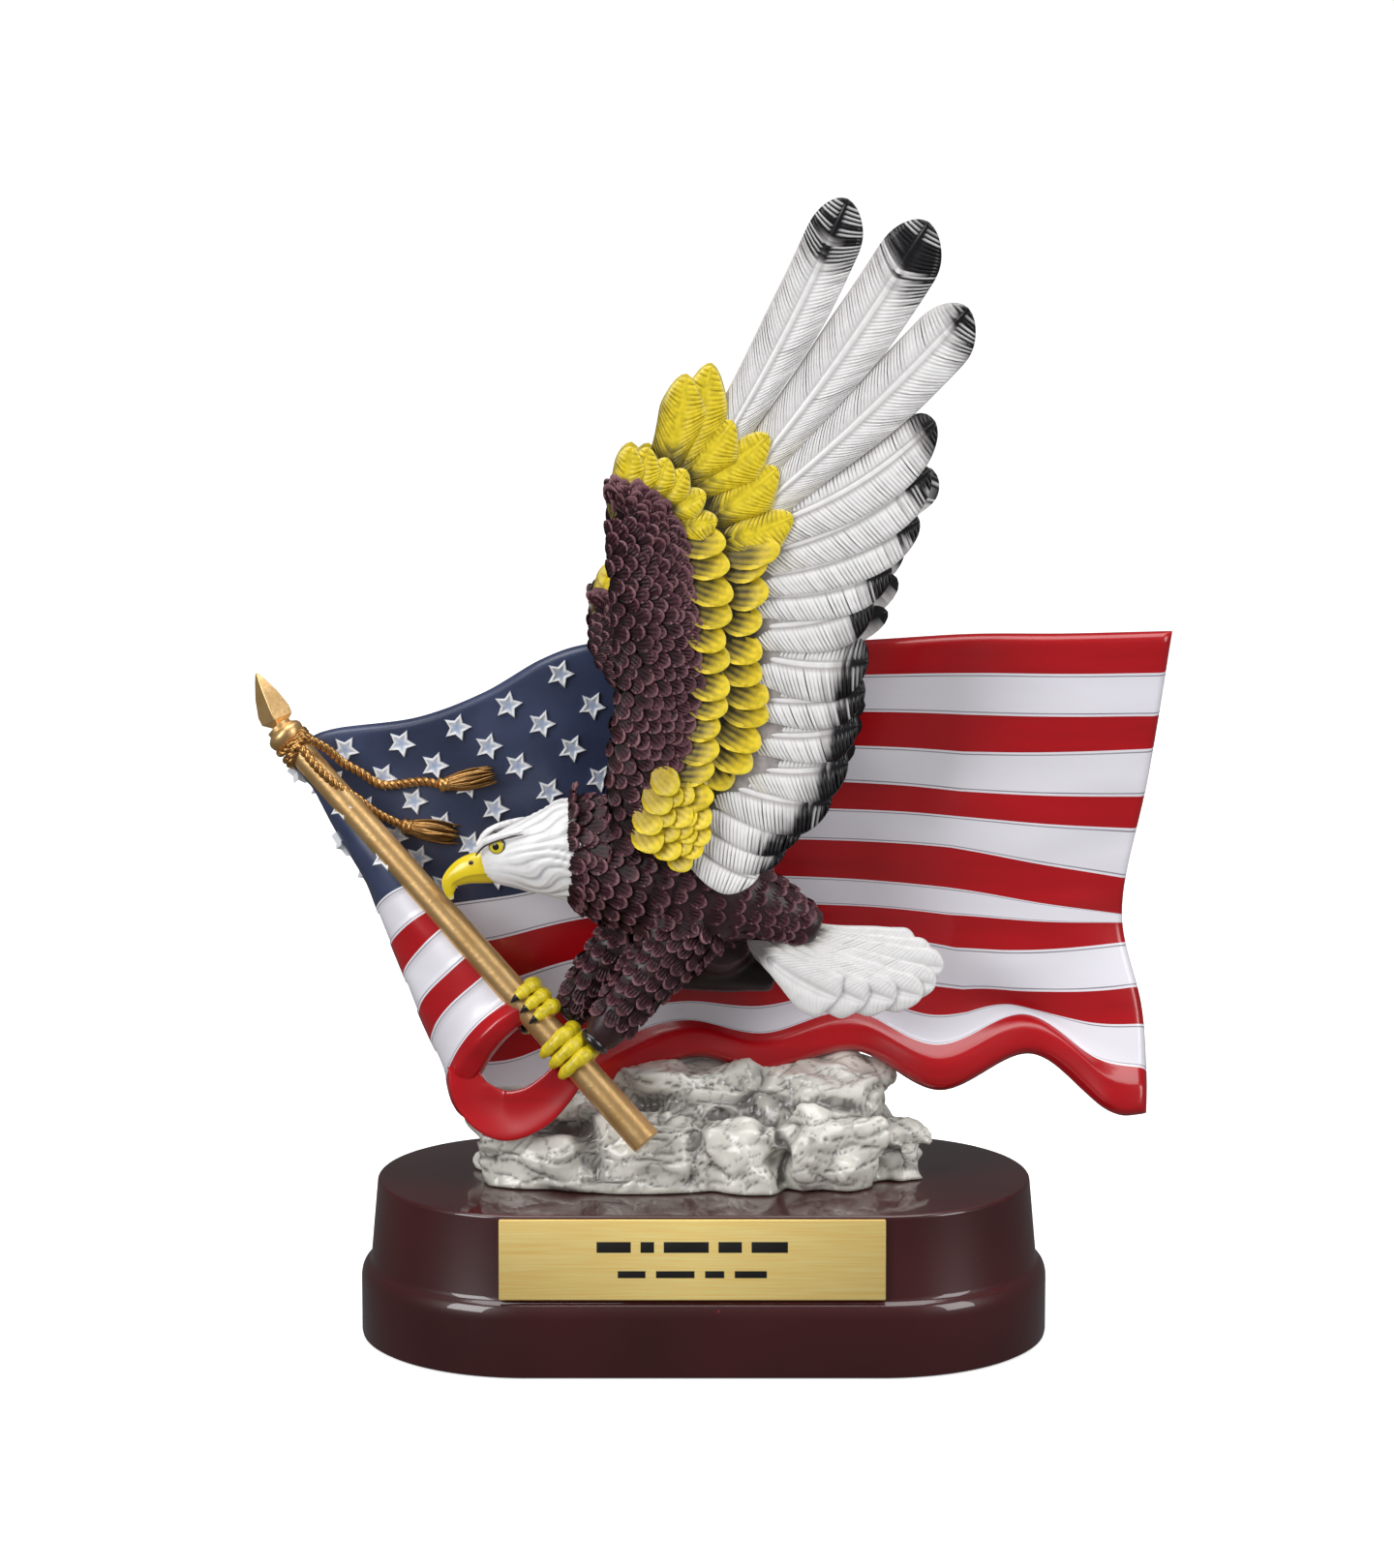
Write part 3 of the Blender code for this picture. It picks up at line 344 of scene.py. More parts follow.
# Wing: tips of the flight feathers and edges of the tiers, as X and Z
FLIGHT_TIPS = (
    (32.6, 273.6), (51.0, 268.3), (60.2, 248.6), (54.6, 223.6), (53.2, 210.8),
    (50.4, 197.8), (44.6, 185.4), (41.0, 175.5), (38.8, 165.3), (37.8, 155.5),
    (36.8, 147.0), (33.5, 137.5), (29.0, 128.6), (23.5, 120.8), (16.5, 115.5),
)
# Flight feathers below the fingers: root, tip, width, length of the black tip and its lean to the lower side
BLADES = (
    ((18.8, 202.2), (52.8, 222.6), 10.5, 5.0, 0.00),
    ((19.5, 195.5), (51.6, 211.4), 10.5, 7.5, -0.60),
    ((15.1, 188.9), (49.4, 199.7), 9.5, 7.0, -0.60),
    ((14.6, 183.5), (43.1, 188.4), 9.5, 6.0, -0.30),
    ((14.7, 176.3), (38.9, 181.0), 10.5, 5.6, 0.10),
    ((14.7, 168.8), (37.9, 166.9), 12.0, 5.6, 0.30),
    ((14.7, 159.0), (37.2, 160.1), 9.5, 5.6, 0.35),
    ((15.4, 150.6), (35.5, 151.9), 9.5, 5.4, 0.35),
    ((14.3, 142.3), (33.3, 143.0), 10.5, 5.6, 0.40),
    ((6.7, 138.7), (29.5, 133.6), 11.5, 6.4, 0.40),
    ((3.3, 134.1), (22.6, 126.3), 10.0, 5.4, 0.50),
    ((0.2, 129.3), (18.6, 121.0), 9.0, 2.4, 0.60),
    ((-1.2, 124.5), (12.5, 115.7), 9.0, 0.0, 0.00),
)
FINGER_ROOTS = ((0.5, 211.0), (7.5, 206.5), (8.5, 199.0))
FINGER_WIDTHS = (13.2, 15.0, 14.6)
FINGER_BLACK = ((12.0, 0.05), (12.5, 0.25), (4.5, 0.9))
LEADING_EDGE = (
    (-20.5, 204.6), (-21.6, 201.0), (-22.0, 191.0), (-20.8, 176.0), (-20.0, 160.0), (-22.0, 143.0),
    (-22.0, 120.0),
)
BROWN_EDGE = (
    (-19.5, 206.5), (-9.0, 203.5), (-3.6, 192.5), (-1.6, 179.0), (-1.2, 160.0), (-5.0, 144.0), (-14.0, 127.0),
)
INNER_COVERTS = (
    (-14.0, 218.0), (-1.0, 207.5), (4.8, 195.0), (6.8, 180.0), (6.3, 160.0), (2.0, 144.5), (-9.0, 124.5),
)
OUTER_COVERTS = (
    (-6.5, 231.5), (13.5, 220.0), (19.6, 200.0), (15.8, 181.0), (16.2, 159.0), (12.2, 141.5), (-2.0, 119.0),
)
# Tips of the yellow feathers in two tiers, and the places of their roots along the tier's upper edge
OUTER_TIPS = (
    (-4.0, 232.8), (1.7, 235.3), (6.6, 222.6), (14.8, 219.4), (16.8, 211.8), (20.4, 200.6), (17.1, 195.2),
    (14.6, 190.0), (14.6, 183.5), (13.5, 175.3), (14.2, 168.8), (13.6, 162.6), (14.7, 157.4), (14.8, 152.6),
    (14.3, 147.8), (12.0, 142.3), (5.3, 136.1),
)
INNER_TIPS = (
    (-16.6, 216.9), (-12.7, 216.7), (-8.2, 214.2), (-4.0, 211.5), (0.4, 206.1), (3.1, 199.9), (4.8, 194.5),
    (6.0, 188.8), (6.6, 182.7), (6.2, 177.0), (5.7, 171.4), (5.8, 166.2), (6.2, 161.2), (6.0, 156.8),
    (4.4, 152.3), (3.6, 147.6), (2.4, 142.6), (1.6, 137.4),
)
OUTER_FEET = ((0, 3, 5, 7, 16), (0.11, 0.21, 0.34, 0.41, 0.95))
INNER_FEET = ((0, 4, 6, 9, 13, 17), (0.0, 0.18, 0.30, 0.50, 0.69, 0.92))
# Outer and inner tier: height over the wing, width, width at the hand, reach under the next tier, blunt tip
COVERT_TIERS = ((2.9, 8.8, 11.0, 8.0, 1.6), (4.0, 8.2, 7.0, 6.5, 2.2))
HAND_START = 198.0
# Corners of the patch of small yellow feathers at the shoulder: top, left, foot and right
SHOULDER_PATCH = ((-8.6, 140.5), (-14.5, 128.6), (-5.6, 121.0), (-0.6, 130.5))
WING_MID_Y = -19.0
WING_CURL = 3.0
WING_SKIN = (
    (0.3, 4.4), (1.0, 3.9), (1.5, 3.3), (2.0, 2.7), (2.5, 2.2), (3.0, 1.5), (3.3, 0.9),
    (3.3, -0.5), (2.0, -1.4), (0.6, -3.2), (0.0, -0.5),
)
SHOULDER = np.array((-20.0, -19.0, 118.0))
FAR_SHOULDER = np.array((-24.7, 4.5, 118.0))
FAR_SCALE = (0.98, 0.85, 0.66)
FAR_LEAN = 0.0024
FAR_TUCK = 6.0
FRONT = np.array((0.0, -1.0, 0.0))

# Places of the columns across a feather, from its left edge to its right edge, and across its underside
FEATHER_COLUMNS = (-1, -0.94, -0.78, -0.5, -0.24, -0.11, -0.055, 0, 0.055, 0.11, 0.24, 0.5, 0.78, 0.94, 1.0)
UNDER_COLUMNS = (-0.16, 0.0, 0.16)
# Shape of each kind of feather, in the words of feather_shape
FINGER_STYLE = dict(tilt=0.3, bow=1.4, round_from=0.78, taper=0.74, edge=0.9, sweep=1.7, quill=0.9,
                    relief=0.2, arch=0.9, blunt=2.3)
BLADE_STYLE = dict(tilt=1.2, arch=0.75, edge=0.8, sweep=0.45, round_from=0.62, upper_round=0.86, taper=0.85,
                   quill=0.6, relief=0.24)
HAND_STYLE = dict(tilt=0.5, arch=0.7, edge=0.9, quill=0.5, relief=0.13, sweep=1.5, round_from=0.45,
                  taper=0.72, back_quill=False)
LOCK_STYLE = dict(tilt=0.2, arch=0.5, barb=0.8, relief=0.14, edge=0.7, quill=0.2, round_from=0.35, taper=0.7,
                  sweep=0.9, back_quill=False)
TAIL_STYLE = dict(tilt=-0.35, arch=0.9, barb=1.2, relief=0.05, edge=1.0, round_from=0.74, taper=0.45,
                  sweep=1.6, quill=0.3)
FINGER_STREAKS = (0.72, 0.42, 0.5)
BLADE_REACH_BACK = 0.28
TAIL_REACH_BACK = 5.0
# Place along a body feather, width and height of each of its rows
SCALE_ROWS = np.array((
    (0.28, 0.80, 0.38), (0.56, 1.0, 0.64), (0.80, 1.02, 0.82), (0.93, 0.96, 1.0), (1.0, 0.90, 0.86),
    (0.96, 0.84, 0.0),
))
# Step between rows, width and length of the body feathers, where the rows start and stop, and their seed
BODY_SCALES = (
    (TORSO, 2.8, 4.0, 4.8, 0.05, 0.86, 1),
    (NEAR_LEG, 2.5, 3.5, 4.4, 0.0, 0.66, 2),
    (FAR_LEG, 2.5, 3.3, 4.2, 0.0, 0.80, 3),
)
ARM_ROW_STEP = 0.46
ARM_SCALE_STEP = 3.0
ARM_SCALE_HEIGHT = 1.15
# Along the wing, how far the arm's scales turn up; across the arm, how high they lie
ARM_RISE = ((0, 3, 6, 10, 15), (1.5, 0.9, 0.1, -0.5, -1.0))
ARM_HEIGHT = ((0, 0.08, 0.3, 1.0), (0.4, 2.6, 4.5, 4.1))
PATCH_ROWS = 6
PATCH_COLUMNS = 3
PATCH_SCALE = (6.8, 7.6, 1.3)
COVERT_HEIGHT = 1.7
# Depth of the roots of the flight feathers behind the wing's middle, and shares of their width on each side
FINGER_DEPTH = 1.9
FINGER_SHARES = (0.46, 0.54)
BLADE_DEPTH = 1.7
BLADE_SHARES = (0.46, 0.74)
CORE_STATIONS = 64
BODY_RINGS = 40

# Paint colours
FEATHER_WHITE = (0.84, 0.83, 0.83)
# The next two colours are painted shade on the white feathers and on the wing core
FEATHER_SHADOW_GREY = (0.27, 0.235, 0.23)
FEATHER_SHADE = (0.44, 0.40, 0.39)
# Painted shade on the white head
HEAD_SHADE_GREY = (0.42, 0.42, 0.45)
ROOT_CREAM = (0.62, 0.55, 0.33)
TIP_GREY = (0.22, 0.20, 0.20)
TIP_BLACK = (0.008, 0.007, 0.009)
YELLOW = (0.80, 0.62, 0.012)
# Deep yellow laid as painted shade in the grooves of the yellow feathers
YELLOW_GROOVE_SHADE = (0.42, 0.27, 0.006)
YELLOW_PALE = (0.88, 0.78, 0.30)
# Dark olive: brushed-on paint at the roots of the yellow feathers, and painted shade on them and on the wing core
DARK_WASH_AND_SHADE = (0.055, 0.042, 0.014)
BODY_DARK = (0.050, 0.019, 0.023)
SCALE_DARK = (0.020, 0.009, 0.010)
# Colours of the body feathers: their paint, the paler paint on their rims, and the dark painted shade in their
# grooves, over their roots and underneath
YELLOW_SET = ((0.82, 0.60, 0.008), (0.86, 0.68, 0.05), (0.070, 0.054, 0.020))
PATCH_SET = ((0.84, 0.63, 0.008), (0.86, 0.70, 0.06), (0.46, 0.32, 0.010))
BROWN_SET = ((0.072, 0.020, 0.030), (0.36, 0.18, 0.20), (0.009, 0.003, 0.004))
TAIL_SMOKE = (0.06, 0.05, 0.05)
BEAK_YELLOW = (0.82, 0.62, 0.010)
BEAK_SHADE = (0.42, 0.27, 0.008)
BEAK_PALE = (0.85, 0.80, 0.45)
FOOT_YELLOW = (0.78, 0.62, 0.015)
FOOT_SHADE = (0.28, 0.20, 0.01)
IRIS = (0.80, 0.66, 0.03)
IRIS_EDGE = (0.45, 0.34, 0.02)
PUPIL = (0.008, 0.007, 0.008)
TALON_BLACK = (0.012, 0.010, 0.010)
ANKLE_BLACK = (0.014, 0.010, 0.012)
NOSTRIL_DARK = (0.015, 0.01, 0.008)
BROW_SHADE = (0.06, 0.04, 0.045)
# Radius, height and colour of each ring of an eye
EYE_RINGS = (
    (1.22, -0.9, PUPIL), (1.2, 0.25, PUPIL), (1.08, 0.55, PUPIL), (0.98, 0.72, IRIS_EDGE), (0.90, 0.85, IRIS),
    (0.62, 1.15, IRIS), (0.50, 1.24, IRIS), (0.46, 1.26, PUPIL), (0.2, 1.34, PUPIL),
)


# Curves through points

def spline(points, t):
    """A smooth curve through the points, at places t from 0 at the first to 1 at the last."""
    points = np.asarray(points, float)
    t = np.asarray(t, float)
    spans = len(points) - 1
    ends = np.vstack([2 * points[0] - points[1], points, 2 * points[-1] - points[-2]])
    place = np.clip(t, 0.0, 1.0) * spans
    i = np.minimum(place.astype(int), spans - 1)
    f = (place - i)[..., None]
    a, b, c, d = (ends[i + k] for k in range(4))
    return 0.5 * (2 * b + (c - a) * f + (2 * a - 5 * b + 4 * c - d) * f**2 + (3 * b - a - 3 * c + d) * f**3)


def even_points(points, count, fine=400):
    """Points at equal steps of length along the smooth curve through the given points."""
    dense = spline(points, np.linspace(0, 1, fine + 1))
    reach = np.concatenate([[0.0], np.cumsum(np.linalg.norm(np.diff(dense, axis=0), axis=1))])
    want = np.linspace(0, reach[-1], count)
    return np.stack([np.interp(want, reach, dense[:, axis]) for axis in range(3)], axis=1)


def unit(v):
    """A vector, or each one in a row of them, brought to a length of one."""
    return v / np.maximum(np.linalg.norm(v, axis=-1, keepdims=True), 1e-9)


def turns(count):
    """Angles at equal steps round a full turn."""
    return np.linspace(0, 2 * np.pi, count, endpoint=False)


def across_line(along):
    """The direction nearest to the viewer's that lies across a line."""
    return unit(FRONT - along * along.dot(FRONT))


def grid_normals(grid):
    """Normals of a grid of points, from its rows and columns."""
    down = np.gradient(grid, axis=0)
    along = np.gradient(grid, axis=1)
    return unit(np.cross(along, down))


def soft_noise(points, size, seed=0.0):
    """Smooth noise between about -1 and 1 at each point, with lumps of the given size in millimetres."""
    flat = np.asarray(points).reshape(-1, 3) / size + seed
    return np.array([noise.noise(p) for p in flat]).reshape(np.shape(points)[:-1])


def smooth_step(low, high, x):
    """From 0 at low to 1 at high, level at both ends."""
    f = np.clip((x - low) / (high - low), 0.0, 1.0)
    return f * f * (3 - 2 * f)


# Meshes

def link_object(name, data):
    """A new object in the scene."""
    obj = bpy.data.objects.new(name, data)
    bpy.context.scene.collection.objects.link(obj)
    return obj


def store_paint(mesh, colour):
    """A colour at each point of a mesh, which the painted materials read."""
    layer = mesh.color_attributes.new("paint", "FLOAT_COLOR", "POINT")
    rgba = np.ones((len(mesh.vertices), 4))
    rgba[:, :3] = colour
    layer.data.foreach_set("color", rgba.ravel())


def apply_modifiers(obj, *names):
    """Only this object is picked, and its modifiers are applied in turn."""
    bpy.ops.object.select_all(action="DESELECT")
    bpy.context.view_layer.objects.active = obj
    obj.select_set(True)
    for name in names:
        bpy.ops.object.modifier_apply(modifier=name)


def add_piece(name, verts, faces, materials, face_material=None, paint=None, crease=None):
    """A mesh in millimetres becomes a piece of the trophy, in metres, that rides on the frame."""
    mesh = bpy.data.meshes.new(name)
    mesh.from_pydata((np.asarray(verts) * MM).tolist(), [], faces)
    for material in materials:
        mesh.materials.append(material)
    if face_material is not None:
        mesh.polygons.foreach_set("material_index", np.asarray(face_material, dtype=np.int32))
    if paint is not None:
        store_paint(mesh, paint)
    mesh.validate()
    mesh.update()
    obj = link_object(name, mesh)
    mesh.shade_smooth()
    if crease is not None:
        mesh.set_sharp_from_angle(angle=math.radians(crease))
    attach(obj, "root")
    return obj


def grid_faces(rows, columns, start=0, wrap=False, flip=False):
    """Quads of a grid whose points run along the columns, row after row."""
    faces = []
    last = columns if wrap else columns - 1
    for i in range(rows - 1):
        for j in range(last):
            a = start + i * columns + j
            b = start + i * columns + (j + 1) % columns
            quad = (a, b, b + columns, a + columns)
            faces.append(quad[::-1] if flip else quad)
    return faces


def tube_points(line, radii, sides, front=None):
    """Rings round a line, with a radius at each of its points."""
    line = np.asarray(line, float)
    along = unit(np.gradient(line, axis=0))
    hint = FRONT if front is None else np.asarray(front, float)
    across = unit(hint - along * (along @ hint)[:, None])
    third = np.cross(along, across)
    angle = turns(sides)
    ring = across[:, None] * np.cos(angle)[None, :, None] + third[:, None] * np.sin(angle)[None, :, None]
    radii = np.asarray(radii, float).reshape(len(line), -1)
    return line[:, None] + ring * radii[..., None]


def closed_tube(rings, start=0):
    """Points and faces of a tube with both ends closed."""
    rows, sides = rings.shape[:2]
    verts = np.concatenate([rings.reshape(-1, 3), [rings[0].mean(axis=0)], [rings[-1].mean(axis=0)]])
    faces = grid_faces(rows, sides, start, wrap=True)
    foot, top = start + rows * sides, start + rows * sides + 1
    for j in range(sides):
        k = (j + 1) % sides
        faces.append((foot, start + k, start + j))
        faces.append((top, start + (rows - 1) * sides + j, start + (rows - 1) * sides + k))
    return verts, faces


class Pile:
    """Several closed shapes gathered into one piece, with a paint colour at each point."""

    def __init__(self):
        self.verts, self.faces, self.paint, self.face_material = [], [], [], []
        self.count = 0

    def add(self, verts, faces, paint=None, material=0):
        self.verts.append(np.asarray(verts, float))
        self.faces += [tuple(k + self.count for k in face) for face in faces]
        self.face_material += [material] * len(faces)
        colour = np.ones((len(verts), 3)) if paint is None else np.broadcast_to(paint, (len(verts), 3))
        self.paint.append(colour)
        self.count += len(verts)

    def add_tube(self, rings, paint=None, material=0):
        verts, faces = closed_tube(rings)
        self.add(verts, faces, paint, material)

    def finish(self, name, materials, crease=None):
        return add_piece(name, np.concatenate(self.verts), self.faces, materials, self.face_material,
                         np.concatenate(self.paint), crease)


# Materials

def new_material(name):
    material = bpy.data.materials.new(name)
    material.use_nodes = True
    nodes = material.node_tree.nodes
    return material, nodes, material.node_tree.links, nodes["Principled BSDF"]


def set_inputs(node, values):
    """Several inputs of a node at once."""
    for name, value in values.items():
        node.inputs[name].default_value = value


def remap(nodes, links, factor, values):
    """A factor moved to another range."""
    node = nodes.new("ShaderNodeMapRange")
    set_inputs(node, values)
    links.new(factor, node.inputs["Value"])
    return node.outputs["Result"]


def object_noise(nodes, links, scale, detail=3.0, stretch=(1.0, 1.0, 1.0)):
    """Noise over the object's own coordinates, as a 0 to 1 factor."""
    place = nodes.new("ShaderNodeTexCoord")
    mapping = nodes.new("ShaderNodeMapping")
    mapping.inputs["Scale"].default_value = stretch
    grain = nodes.new("ShaderNodeTexNoise")
    set_inputs(grain, {"Scale": scale, "Detail": detail})
    links.new(place.outputs["Object"], mapping.inputs["Vector"])
    links.new(mapping.outputs["Vector"], grain.inputs["Vector"])
    return grain.outputs["Fac"]


def ramp(nodes, links, factor, stops):
    """Colours at places along a factor."""
    node = nodes.new("ShaderNodeValToRGB")
    elements = node.color_ramp.elements
    while len(elements) < len(stops):
        elements.new(0.5)
    for element, (place, colour) in zip(elements, stops):
        element.position = place
        element.color = (*colour, 1.0)
    links.new(factor, node.inputs["Fac"])
    return node.outputs["Color"]


def bump(nodes, links, shader, height, strength, distance):
    node = nodes.new("ShaderNodeBump")
    set_inputs(node, {"Strength": strength, "Distance": distance})
    links.new(height, node.inputs["Height"])
    links.new(node.outputs["Normal"], shader.inputs["Normal"])


def tint(nodes, links, base, factor, mode="MULTIPLY", amount=1.0):
    """The base colour changed by another one."""
    node = nodes.new("ShaderNodeMix")
    node.data_type = "RGBA"
    node.blend_type = mode
    node.inputs["Factor"].default_value = amount
    links.new(base, node.inputs["A"])
    links.new(factor, node.inputs["B"])
    return node.outputs["Result"]


def attribute_colour(nodes):
    node = nodes.new("ShaderNodeVertexColor")
    node.layer_name = "paint"
    return node.outputs["Color"]


def gloss_paint(name, colour, darker, roughness, coat, coat_roughness=0.08, grain=90.0, streak=(1, 1, 1),
                waves=0.0):
    """Brushed-on enamel: a little uneven in colour and level, under a clear coat."""
    material, nodes, links, shader = new_material(name)
    mottle = object_noise(nodes, links, grain, 5.0, streak)
    links.new(ramp(nodes, links, mottle, ((0.3, darker), (0.62, colour))), shader.inputs["Base Color"])
    set_inputs(shader, {"Roughness": roughness, "Coat Weight": coat, "Coat Roughness": coat_roughness})
    if waves > 0:
        bump(nodes, links, shader, object_noise(nodes, links, 26.0, 1.0, (0.8, 1.0, 1.4)), waves, 0.008)
    else:
        bump(nodes, links, shader, object_noise(nodes, links, 260.0, 3.0), 0.12, 0.0004)
    return material


def attribute_paint(name, roughness=0.42, coat=0.12, speck=0.75, grain=700.0, bump_strength=0.25, sheen=0.5):
    """Hand-painted resin: the colour is stored on the mesh, with fine specks of wash and a slight grain."""
    material, nodes, links, shader = new_material(name)
    fine = object_noise(nodes, links, grain, 6.0)
    specks = ramp(nodes, links, fine, ((0.32, (speck, speck, speck)), (0.56, (1.0, 1.0, 1.0))))
    links.new(tint(nodes, links, attribute_colour(nodes), specks), shader.inputs["Base Color"])
    rough = remap(nodes, links, fine, {"To Min": roughness - 0.1, "To Max": roughness + 0.1})
    links.new(rough, shader.inputs["Roughness"])
    set_inputs(shader, {"Specular IOR Level": sheen, "Coat Weight": coat, "Coat Roughness": 0.25})
    bump(nodes, links, shader, fine, bump_strength, 0.0003)
    return material


def metal_paint(name, colour, darker, roughness, grain=160.0):
    """Metallic paint with a fine grain and darker patches."""
    material, nodes, links, shader = new_material(name)
    patches = object_noise(nodes, links, grain, 6.0)
    base = ramp(nodes, links, patches, ((0.3, darker), (0.6, colour)))
    links.new(tint(nodes, links, base, attribute_colour(nodes)), shader.inputs["Base Color"])
    shader.inputs["Metallic"].default_value = 0.85
    rough = remap(nodes, links, patches, {"To Min": roughness + 0.12, "To Max": roughness - 0.08})
    links.new(rough, shader.inputs["Roughness"])
    bump(nodes, links, shader, object_noise(nodes, links, 900.0, 4.0), 0.2, 0.0003)
    return material


def make_lacquer():
    """Deep brown-red lacquer with a mirror-like clear coat and a few dust specks."""
    material, nodes, links, shader = new_material("brown_red_lacquer")
    cloud = object_noise(nodes, links, 22.0, 4.0)
    base = ramp(nodes, links, cloud, ((0.3, (0.034, 0.0022, 0.003)), (0.7, (0.056, 0.0045, 0.006))))
    dust = object_noise(nodes, links, 520.0, 1.0)
    specks = ramp(nodes, links, dust, ((0.80, (1.0, 1.0, 1.0)), (0.84, (5.0, 4.0, 4.0))))
    links.new(tint(nodes, links, base, specks), shader.inputs["Base Color"])
    set_inputs(shader, {"Roughness": 0.38, "Coat Weight": 1.0, "Coat Roughness": 0.035, "Coat IOR": 1.55})
    bump(nodes, links, shader, object_noise(nodes, links, 45.0, 2.0), 0.05, 0.0006)
    return material


def make_plate_brass():
    """Satin brass with fine brushing along its length, and a painted highlight that makes it brighter towards the
    middle.
    """
    material, nodes, links, shader = new_material("satin_brass")
    brushing = object_noise(nodes, links, 60.0, 8.0, (1.0, 40.0, 40.0))
    grain = ramp(nodes, links, brushing, ((0.25, (0.94, 0.64, 0.19)), (0.75, (1.0, 0.82, 0.34))))
    place = nodes.new("ShaderNodeTexCoord")
    split = nodes.new("ShaderNodeSeparateXYZ")
    links.new(place.outputs["Object"], split.inputs["Vector"])
    across = remap(nodes, links, split.outputs["X"], {"From Min": (PLATE_OFFSET_X - PLATE_WIDTH / 2) * MM,
                                                      "From Max": (PLATE_OFFSET_X + PLATE_WIDTH / 2) * MM})
    # Painted highlight: the colour is brighter in the middle of the plate and duller at its ends
    sheen = ramp(nodes, links, across,
                 ((0.0, (0.84, 0.82, 0.78)), (0.5, (1.12, 1.12, 1.10)), (1.0, (0.84, 0.82, 0.78))))
    links.new(tint(nodes, links, grain, sheen), shader.inputs["Base Color"])
    set_inputs(shader, {"Metallic": 0.4, "Roughness": 0.40})
    bump(nodes, links, shader, brushing, 0.15, 0.0003)
    return material


def make_rock_paint():
    """Cream resin, with painted grey shade in its hollows and near its foot, and a thin gloss coat."""
    material, nodes, links, shader = new_material("washed_stone")
    patches = object_noise(nodes, links, 75.0, 6.0)
    cream = ramp(nodes, links, patches, ((0.32, (0.56, 0.55, 0.50)), (0.60, (0.84, 0.82, 0.75))))
    specks = ramp(nodes, links, object_noise(nodes, links, 380.0, 5.0),
                  ((0.30, (0.35, 0.33, 0.32)), (0.40, (1.0, 1.0, 1.0))))
    painted_shade = tint(nodes, links, cream, attribute_colour(nodes))
    links.new(tint(nodes, links, painted_shade, specks, "MULTIPLY", 0.65), shader.inputs["Base Color"])
    set_inputs(shader, {"Roughness": 0.30, "Coat Weight": 0.6, "Coat Roughness": 0.12})
    bump(nodes, links, shader, object_noise(nodes, links, 420.0, 6.0), 0.2, 0.0004)
    return material


LACQUER = make_lacquer()
PLATE_BRASS = make_plate_brass()
DARK_ENAMEL = gloss_paint("dark_enamel", (0.012, 0.011, 0.010), (0.006, 0.006, 0.006), 0.4, 0.2)
FLAG_RED = gloss_paint("flag_red", (0.47, 0.001, 0.006), (0.34, 0.001, 0.004), 0.30, 0.7, 0.10, 40.0,
                       (0.3, 1, 3), 0.6)
FLAG_WHITE = gloss_paint("flag_white", (0.84, 0.82, 0.88), (0.76, 0.74, 0.81), 0.34, 0.35, 0.14, 30.0,
                         (0.5, 1, 2), 0.6)
# Grey for the thin line of painted shade along the edges of the white stripes
STRIPE_EDGE_SHADE = gloss_paint("stripe_line", (0.36, 0.34, 0.38), (0.24, 0.22, 0.26), 0.45, 0.2)
FLAG_NAVY = gloss_paint("flag_navy", (0.045, 0.060, 0.125), (0.022, 0.030, 0.070), 0.36, 0.4, 0.18, 45.0,
                        (1, 1, 1), 0.6)
GOLD_PAINT = metal_paint("gold_paint", (0.92, 0.60, 0.27), (0.70, 0.42, 0.16), 0.36)
ANTIQUE_GOLD = metal_paint("antique_gold", (0.66, 0.36, 0.12), (0.34, 0.17, 0.05), 0.30, 240.0)
STONE = make_rock_paint()
STAR_PAINT = attribute_paint("star_white", 0.36, 0.3, 0.92)
RESIN_PAINT = attribute_paint("hand_painted_resin")
WHITE_PAINT = attribute_paint("clean_white_resin", 0.38, 0.2, 0.93, 500.0, 0.12)
BROWN_PAINT = attribute_paint("satin_brown_resin", 0.46, 0.0, 0.7, sheen=0.32)
GLOSS_PAINT = attribute_paint("gloss_enamel", 0.22, 0.8, 0.9, 300.0, 0.1)
TOE_PAINT = attribute_paint("toe_yellow", 0.38, 0.3, 0.7)


# Plinth and plate

